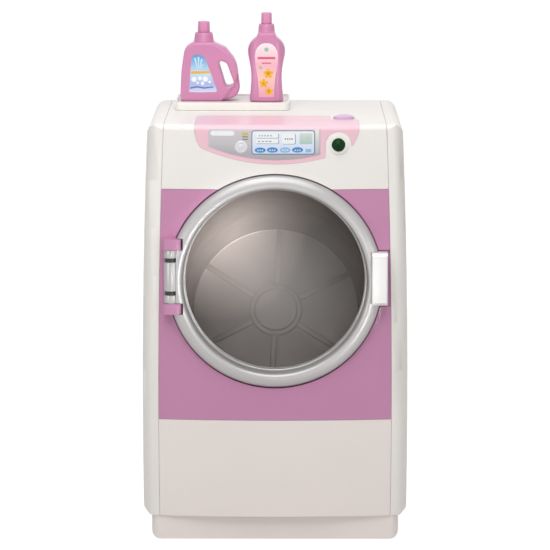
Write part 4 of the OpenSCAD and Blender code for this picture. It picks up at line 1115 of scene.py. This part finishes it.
@dataclass
class Display:
    """Printed film of the control panel: generic keys and fields, without lettering.

    Every shape has its place across the cabinet and its drop below the top, in mm.
    """

    start: float = 5.0
    key_size: Point = (4.9, 2.5)
    key_mark: Place = (1.3, 0.9, 0.3)
    keys: tuple[Point, ...] = ((-13.3, 22.5), (-2.3, 22.3), (20.4, 22.2))
    lit_key: Point = (9.1, 22.3)
    strip: tuple[Point, ...] = ((36.4, 25.8), (39.6, 25.0), (39.6, 4.0), (36.4, 4.0))
    dial_place: Point = (-30.5, 19.8)
    dial_sink: float = 0.3
    dial_profile: tuple[Point, ...] = (
        (0.0, 0.5), (2.6, 0.5), (2.9, 0.3), (3.3, 0.3), (3.6, 0.6), (4.9, 0.6), (5.6, 0.25),
        (5.8, 0.0), (5.8, -0.15), (0.0, -0.15),
    )

    def build(self, nodes: Nodes) -> None:
        """Lays every printed shape on the display plate and adds the dial.

        Args:
            nodes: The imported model's nodes by name.
        """
        plate = nodes["display_plate"]
        for slot in plate.material_slots:
            slot.material = DISPLAY_FILM.build()
        lay_layers(self.layers(), plate, FRONT_Y - self.start, "cabinet", (0.0, TOP_Z))
        self.dial()

    def boxes(self, *shapes: tuple[float, float, float, float, float]) -> Outlines:
        """Rounded boxes, each by its middle, drop, width, height and corner radius."""
        return [rounded_box(x, -drop, w, h, r) for x, drop, w, h, r in shapes]

    def ovals(self, *middles: Point) -> Outlines:
        """Oval keys, each by its middle and its drop."""
        return [ellipse(x, -drop, *self.key_size) for x, drop in middles]

    def layers(self) -> list[Layer]:
        """Every printed layer from the lowest up, measured from the cabinet's top.

        Returns:
            Name, finish, number from below and outlines of each layer.
        """
        marks = [(x + dx, 22.4, *self.key_mark)
                 for x in sorted([x for x, _ in self.keys] + [self.lit_key[0]])
                 for dx in (-2.1, 0.0, 2.1)]
        return [
            ("display_pill", WHITE_INK, 1, self.boxes((-47.4, 7.3, 21.5, 4.4, 2.1))),
            ("display_bar_yellow", YELLOW_INK, 1, self.boxes((-26.9, 7.9, 5.2, 2.5, 0.3))),
            ("display_bars_dark", DARK_INK, 1, self.boxes(
                (-26.9, 10.4, 5.2, 0.9, 0.2), (-26.9, 12.6, 5.2, 0.9, 0.2))),
            # The silver strip carries a painted highlight, lighter towards the top
            ("display_strip", SILVER_INK_HIGHLIT, 1, [[(x, -drop) for x, drop in self.strip]]),
            ("display_frame", SLATE_INK, 1, self.boxes((7.45, 15.5, 57.1, 21.8, 2.4))),
            ("display_window_pane", WINDOW_INK, 2, self.boxes((7.45, 15.5, 55.7, 20.4, 1.9))),
            ("display_fields_edge", SLATE_INK, 3, self.boxes(
                (-6.6, 9.5, 20.6, 4.5, 1.1), (-6.6, 14.6, 20.6, 4.3, 1.1),
                (12.6, 12.2, 12.2, 9.9, 1.6))),
            ("display_fields", WHITE_INK, 4, self.boxes(
                (-6.9, 9.3, 20.2, 4.2, 1.0), (-6.9, 14.4, 20.2, 4.0, 1.0),
                (12.3, 12.0, 11.8, 9.6, 1.4))),
            ("display_picture", GREEN_INK, 3, self.boxes((27.9, 12.1, 11.6, 9.8, 1.2))),
            ("display_keys", BLUE_INK, 3, self.ovals(*self.keys)),
            ("display_key_light", SKY_INK, 3, self.ovals(self.lit_key)),
            ("display_key_marks", WHITE_INK, 4, self.boxes(*marks)),
            ("display_marks", SLATE_INK, 5, self.boxes(
                *((-14.0 + i * 2.6, 9.4, 1.5, 0.7, 0.2) for i in range(5)),
                *((-14.4 + i * 3.4, 14.5, 2.1, 0.7, 0.2) for i in range(4)),
                *((9.4 + i * 2.0, 12.3, 1.2, 1.2, 0.3) for i in range(4)))),
            ("display_corner_field", SKY_INK, 3, self.boxes((30.2, 22.9, 5.2, 3.0, 0.5))),
        ]

    def dial(self) -> None:
        """The pressed round field at the left of the window."""
        x, drop = self.dial_place
        place = (x, FRONT_Y + bow(x) - self.dial_sink, TOP_Z - drop)
        piece = turned("display_dial", self.dial_profile, place, Facing.FRONT, 64)
        finish_piece(piece, PEARL_INK, "cabinet")


@dataclass
class Bottle:
    """Blow moulded toy bottle: its body, its cap with the collar and a plain printed label.

    The cap's size is its radius at the foot, its radius under the top edge and its height. The
    collar's profile hangs from the top of the body. The label is measured from the body's foot
    and from the datum, a share of its width from the left.
    """

    node: str
    cap_node: str
    body: str
    cap_size: tuple[float, float, float]
    collar: tuple[Point, ...]
    voxel: float = 0.7
    rounds: int = 30
    start: float = 4.0
    datum: float = 0.0

    def build(self, nodes: Nodes) -> None:
        """Builds the body with its soft edges, the cap and the label.

        Args:
            nodes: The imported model's nodes by name.
        """
        low, high = ([v / MM for v in corner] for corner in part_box(self.node))
        shell = self.blank(nodes)
        modify(shell, "REMESH", mode="VOXEL", voxel_size=self.voxel * MM, adaptivity=0.0)
        modify(shell, "SMOOTH", factor=0.5, iterations=self.rounds)
        settle(shell, f"{self.node}_shell")
        smooth(shell, 60)
        finish_piece(shell, PINK_PE, self.body, [self.node])
        self.cap()
        origin = (low[0] + self.datum * (high[0] - low[0]), low[2])
        lay_layers(self.label(low[2]), shell, low[1] - self.start, self.body, origin)

    def blank(self, nodes: Nodes) -> Piece:
        """The sharp-edged body that is softened next."""
        return softened(f"{self.node}_blank", nodes[self.node], 0.2, 1)

    def cap(self) -> None:
        """Turns the cap with its rounded top edge and the collar under it."""
        low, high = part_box(self.cap_node)
        x, y = (low[0] + high[0]) / 2 / MM, (low[1] + high[1]) / 2 / MM
        piece = turned(f"{self.cap_node}_turned", cap_profile(*self.cap_size),
                       (x, y, low[2] / MM))
        finish_piece(piece, CAP_PP, self.body, [self.cap_node])
        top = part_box(self.node)[1][2] / MM
        collar = turned(f"{self.node}_collar", self.collar, (x, y, top))
        finish_piece(collar, PINK_PE, self.body, [self.node])

    def label(self, foot: float) -> list[Layer]:
        """The printed layers over a foot at this level, in mm."""
        raise NotImplementedError


@dataclass(frozen=True)
class Slab:
    """Upright slab of the jug, its outline pulled tight round some discs.

    The share is its depth by the depth of the jug, and the rim is the rounding of its edges.
    """

    discs: tuple[Disc, ...]
    share: float
    rim: float = 0.0


@dataclass
class DetergentBottle(Bottle):
    """Jug with a moulded handle and a blue label with rays, a band, bubbles and a wave."""

    node: str = "detergent_bottle"
    cap_node: str = "detergent_cap"
    body: str = "detergent"
    cap_size: tuple[float, float, float] = (5.8, 5.5, 10.3)
    collar: tuple[Point, ...] = (
        (0.0, -12.9), (9.5, -12.9), (9.9, -12.0), (9.9, -9.6), (9.6, -8.6), (9.3, -7.2),
        (8.5, -2.2), (8.15, -0.7), (7.6, -0.1), (0.0, 0.0),
    )
    body_slab: Slab = Slab((
        (3.0, 3.0, 3.0), (4.1, 28.0, 3.0), (13.5, 44.5, 10.0), (13.3, 55.2, 0.5),
        (31.3, 55.2, 0.5), (39.1, 1.5, 1.5), (30.0, 27.5, 24.5),
    ), share=1.0, rim=4.0)
    grip_slab: Slab = Slab((
        (31.0, 54.2, 1.2), (38.9, 45.2, 6.5), (30.0, 27.5, 24.5), (45.0, 13.1, 11.5),
    ), share=0.84, rim=3.6)
    hole_slab: Slab = Slab((
        (38.9, 35.9, 2.1), (42.3, 34.3, 2.4), (48.6, 17.0, 2.4), (45.2, 16.0, 2.4),
    ), share=2.0)
    outline: tuple[Point, ...] = (
        (8.6, 8.7), (20.0, 8.4), (34.2, 8.7), (34.9, 10.4), (31.2, 20.5), (27.6, 30.5),
        (24.0, 40.2), (22.2, 42.8), (17.8, 44.2), (13.2, 44.0), (11.3, 42.2), (9.8, 30.0),
    )
    apex: Point = (17.5, 27.0)
    rays: tuple[Point, ...] = ((104, 14.5), (90, 15.0), (76, 13.5), (62, 9.5))
    ray_start: float = 4.0
    ray_half: float = 3.2
    band: tuple[Point, ...] = ((9.9, 25.8), (28.8, 26.6), (28.0, 28.8), (10.1, 28.4))
    bubbles: tuple[Disc, ...] = (
        (13.2, 20.8, 2.5), (18.9, 21.8, 1.9), (23.9, 21.0, 2.6), (16.6, 17.4, 1.3),
        (21.3, 16.9, 1.6), (28.0, 18.2, 1.3),
    )
    wave: tuple[Point, ...] = (
        (9.4, 11.6), (16.0, 13.0), (23.0, 11.8), (31.5, 13.0), (31.2, 14.2), (23.0, 13.3),
        (16.0, 14.5), (9.4, 13.3),
    )

    def blank(self, nodes: Nodes) -> Piece:
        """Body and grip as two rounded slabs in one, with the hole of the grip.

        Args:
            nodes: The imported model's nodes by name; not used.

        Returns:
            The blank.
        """
        low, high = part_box(self.node)
        middle = (low[1] + high[1]) / 2
        depth = (high[1] - low[1]) / MM
        pieces = []
        for slab in (self.body_slab, self.grip_slab, self.hole_slab):
            discs = [(low[0] / MM + x, low[2] / MM + z, r) for x, z, r in slab.discs]
            piece = flat_shape(hull(discs))
            edit(piece, lambda: bpy.ops.transform.translate(value=(0, middle, 0)))
            modify(piece, "SOLIDIFY", thickness=depth * slab.share * MM, offset=0.0)
            edit(piece, outward)
            if slab.rim:
                modify(piece, "BEVEL", width=slab.rim * MM, segments=5, limit_method="ANGLE",
                       angle_limit=math.radians(50))
            pieces.append(piece)
        body, grip, hole = pieces
        pick(grip, body)
        bpy.ops.object.join()
        modify(body, "REMESH", mode="VOXEL", voxel_size=self.voxel * MM, adaptivity=0.0)
        combine(body, hole, "DIFFERENCE")
        return body

    def ray(self, turn: float, reach: float) -> list[Point]:
        """Outline of one ray, wider at its end.

        Args:
            turn: Its direction, in degrees.
            reach: Its length from the apex, in mm.

        Returns:
            The outline.
        """
        x, z = self.apex
        left, right = (math.radians(turn + side) for side in (-self.ray_half, self.ray_half))
        return [(x + r * math.cos(a), z + r * math.sin(a)) for r, a in (
            (self.ray_start, left), (reach, left), (reach, right), (self.ray_start, right))]

    def label(self, foot: float) -> list[Layer]:
        """Blue rays over a plain amber band, white bubbles and a wave.

        Args:
            foot: Level of the body's foot, in mm.

        Returns:
            Name, finish, number from below and outlines of each layer.
        """
        # Offset print that runs from lilac through pale blue to a clear blue, slightly glossy
        sky = GradedFinish(
            "label_sky", "#8fb9e0", roughness=0.3, coat=0.2, low_mm=foot + 8.5,
            high_mm=foot + 44, stops=((0.0, "#d6def2"), (0.22, "#a9bce6"), (0.5, "#c9e2f4"),
                                      (0.78, "#8cbfe6"), (1.0, "#5f9fd6")))
        return [
            ("detergent_label", sky, 1, [self.outline]),
            ("detergent_label_rays", LABEL_ICE, 2, [self.ray(*ray) for ray in self.rays]),
            ("detergent_label_band", LABEL_AMBER, 2, [self.band]),
            ("detergent_label_bubbles", LABEL_WHITE, 2,
             [ellipse(x, z, r, r, steps=24) for x, z, r in self.bubbles]),
            ("detergent_label_wave", LABEL_INDIGO, 2, [self.wave]),
        ]


@dataclass
class SoftenerBottle(Bottle):
    """Waisted bottle with an arched label: rose above, round yellow blossoms below.

    A petal's distance, half length and half width and the heart's radius are shares of the
    blossom's radius.
    """

    node: str = "softener_bottle"
    cap_node: str = "softener_cap"
    body: str = "softener"
    cap_size: tuple[float, float, float] = (5.1, 4.9, 10.6)
    collar: tuple[Point, ...] = (
        (0.0, -12.6), (8.0, -12.6), (8.3, -11.8), (8.1, -9.8), (7.4, -2.2), (7.15, -0.7),
        (6.6, -0.1), (0.0, 0.0),
    )
    half: tuple[Point, ...] = (
        (7.2, 4.6), (7.4, 12.0), (8.2, 22.0), (9.6, 31.0), (10.7, 38.5), (10.9, 43.5),
        (10.2, 48.0), (8.4, 51.8), (5.6, 54.4), (2.4, 55.6),
    )
    datum: float = 0.5
    bars: tuple[tuple[float, float, float, float, float], ...] = (
        (0.0, 41.6, 17.0, 2.2, 1.0), (0.0, 36.8, 9.0, 1.2, 0.5),
    )
    dots: tuple[tuple[Disc, int], ...] = (((-5.6, 32.6, 1.5), 20), ((0.0, 49.6, 2.0), 24))
    blossoms: tuple[Disc, ...] = ((1.8, 26.8, 3.6), (-2.6, 17.6, 3.3), (2.4, 10.2, 3.0))
    petals: int = 5
    first_petal: float = 18.0
    petal: tuple[float, float, float] = (0.72, 0.62, 0.42)
    heart: float = 0.26

    def blossom(self, x: float, z: float, r: float) -> Outlines:
        """Petals of one blossom.

        Args:
            x: Place of its middle, in mm.
            z: Level of its middle, in mm.
            r: Its radius, in mm.

        Returns:
            The outline of each petal.
        """
        away, long, wide = (share * r for share in self.petal)
        turns = [self.first_petal + 360 / self.petals * step for step in range(self.petals)]
        return [ellipse(x + away * math.cos(math.radians(turn)),
                        z + away * math.sin(math.radians(turn)), long, wide, turn, 20)
                for turn in turns]

    def label(self, foot: float) -> list[Layer]:
        """Pale arch with plain bars, dots, petals and their middles.

        Args:
            foot: Level of the body's foot, in mm.

        Returns:
            Name, finish, number from below and outlines of each layer.
        """
        arch = [*self.half, *((-x, z) for x, z in reversed(self.half))]
        # Offset print that runs from rose through apricot to nearly white, slightly glossy
        rose = GradedFinish(
            "label_rose", "#f3c7cf", roughness=0.3, coat=0.2, low_mm=foot + self.half[0][1],
            high_mm=foot + self.half[-1][1],
            stops=((0.0, "#f0a9c0"), (0.35, "#f6c9bd"), (0.6, "#f3b6c6"), (1.0, "#fbeff2")))
        return [
            ("softener_label", rose, 1, [arch]),
            ("softener_label_band", LABEL_RED, 2, [rounded_box(*bar) for bar in self.bars]),
            ("softener_label_disc", LABEL_MINT, 2,
             [ellipse(x, z, r, r, steps=steps) for (x, z, r), steps in self.dots]),
            ("softener_label_petals", LABEL_YELLOW, 2,
             [petal for place in self.blossoms for petal in self.blossom(*place)]),
            ("softener_label_hearts", LABEL_ORANGE, 3,
             [ellipse(x, z, self.heart * r, self.heart * r, steps=16)
              for x, z, r in self.blossoms]),
        ]


@dataclass
class Stage:
    """Floor, camera and soft studio light, placed in metres.

    A lamp is its name, its place, its size and its power in watts.
    """

    lens_mm: float = 219.0
    sensor_mm: float = 36.0
    distance: float = 3.0
    height: float = 0.6931
    side: float = 0.0147
    sight: float = 50.0
    pitch_deg: float = 8.47
    turn_deg: float = 0.28
    ambient: float = 0.4
    lamps: tuple[tuple[str, Place, float, float], ...] = (
        ("key_lamp", (-0.07, -0.64, 0.98), 0.75, 5.2),
        ("left_box", (-0.85, -0.95, 0.24), 0.22, 1.5),
        ("right_box", (0.85, -0.95, 0.24), 0.22, 1.5),
        ("top_lamp", (-0.02, 0.2, 1.5), 0.7, 2.4),
    )
    lamp_aim: Place = (0.0, 0.0, 0.25)
    snoot_place: Place = (0.35, -1.2, 0.04)
    snoot_aim: Place = (-0.002, -0.12, 0.243)
    snoot_power: float = 320.0
    snoot_degrees: float = 6.8
    snoot_size: float = 0.04
    floor_size: float = 60.0
    floor_level: float = -0.0004
    floor_grey: str = "#b9b7b5"
    floor_glow: float = 0.84

    def build(self) -> None:
        """Makes the floor, the world, the lamps and the camera."""
        self.floor()
        self.world()
        for name, place, size, power in self.lamps:
            lamp = self.lamp(name, "AREA", place, self.lamp_aim, power)
            lamp.size = size
        self.snoot()
        self.camera()

    def floor(self) -> None:
        """A pale floor that reads as white and keeps a faint shadow."""
        clean_start()
        bpy.ops.mesh.primitive_plane_add(size=self.floor_size, location=(0, 0, self.floor_level))
        floor = bpy.context.object
        settle(floor, "studio_floor")
        material = bpy.data.materials.new("paper_floor")
        material.use_nodes = True
        tree = material.node_tree
        tree.nodes.clear()
        paper = add_node(tree, "ShaderNodeBsdfDiffuse", {"Color": linear(self.floor_grey)})
        glow = add_node(tree, "ShaderNodeEmission", {"Strength": self.floor_glow})
        both = add_node(tree, "ShaderNodeAddShader", {0: paper.outputs[0], 1: glow.outputs[0]})
        mix = add_node(tree, "ShaderNodeMixShader", {
            "Fac": self.seen_ray(tree), 1: paper.outputs[0], 2: both.outputs[0]})
        add_node(tree, "ShaderNodeOutputMaterial", {"Surface": mix.outputs[0]})
        floor.data.materials.append(material)

    def seen_ray(self, tree: Tree) -> Socket:
        """1 for rays that look at the backdrop directly, by gloss or through a clear piece.

        Args:
            tree: Node tree of the floor or the world.

        Returns:
            The share, 0 or 1.
        """
        path = add_node(tree, "ShaderNodeLightPath")
        share = path.outputs["Is Camera Ray"]
        for ray in ("Is Glossy Ray", "Is Transmission Ray"):
            larger = add_node(tree, "ShaderNodeMath", {0: share, 1: path.outputs[ray]},
                              operation="MAXIMUM")
            share = larger.outputs[0]
        return share

    def world(self) -> None:
        """Plain light from all round, seen as white."""
        world = bpy.data.worlds.new("studio")
        bpy.context.scene.world = world
        world.use_nodes = True
        tree = world.node_tree
        tree.nodes.clear()
        strength = add_node(tree, "ShaderNodeMapRange", {
            "Value": self.seen_ray(tree), "To Min": self.ambient, "To Max": 1.0})
        light = add_node(tree, "ShaderNodeBackground", {
            "Color": (1, 1, 1, 1), "Strength": strength.outputs["Result"]})
        add_node(tree, "ShaderNodeOutputWorld", {"Surface": light.outputs[0]})

    def lamp(
        self, name: str, kind: str, place: Place, aim: Place, power: float
    ) -> bpy.types.Light:
        """Adds one lamp that looks at a point.

        Args:
            name: Name of the lamp.
            kind: Blender's name of the lamp type.
            place: Where it stands.
            aim: The point that it looks at.
            power: Its power, in watts.

        Returns:
            The lamp's own settings.
        """
        clean_start()
        bpy.ops.object.light_add(type=kind, location=place)
        lamp = bpy.context.object
        lamp.name = name
        lamp.data.energy = power
        lamp.rotation_euler = (Vector(aim) - Vector(place)).to_track_quat("-Z", "Y").to_euler()
        return lamp.data

    def snoot(self) -> None:
        """Narrow lamp that lights the inside of the drum through the door."""
        lamp = self.lamp("drum_snoot", "SPOT", self.snoot_place, self.snoot_aim, self.snoot_power)
        lamp.spot_size = math.radians(self.snoot_degrees)
        lamp.spot_blend = 1.0
        lamp.shadow_soft_size = self.snoot_size

    def camera(self) -> None:
        """Puts the camera in front of the door, looking slightly down."""
        clean_start()
        bpy.ops.object.camera_add(
            location=(self.side, FRONT_Y * MM - self.distance, self.height),
            rotation=(math.radians(90 - self.pitch_deg), 0, math.radians(self.turn_deg)),
        )
        camera = bpy.context.object
        camera.name = "front_camera"
        camera.data.sensor_width = self.sensor_mm
        camera.data.lens = self.lens_mm
        camera.data.clip_end = self.sight
        bpy.context.scene.camera = camera
        bpy.context.scene.view_settings.view_transform = "Standard"


def main() -> None:
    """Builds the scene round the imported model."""
    logging.basicConfig(level=logging.INFO, format="%(name)s: %(message)s")
    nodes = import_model()["nodes"]
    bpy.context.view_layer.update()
    Dressing().apply(nodes)
    Handle().build(nodes)
    DoorRing().build(nodes)
    Drum().build()
    Tray().build(nodes)
    Display().build(nodes)
    DetergentBottle().build(nodes)
    SoftenerBottle().build(nodes)
    Stage().build()


if __name__ == "__main__":
    main()
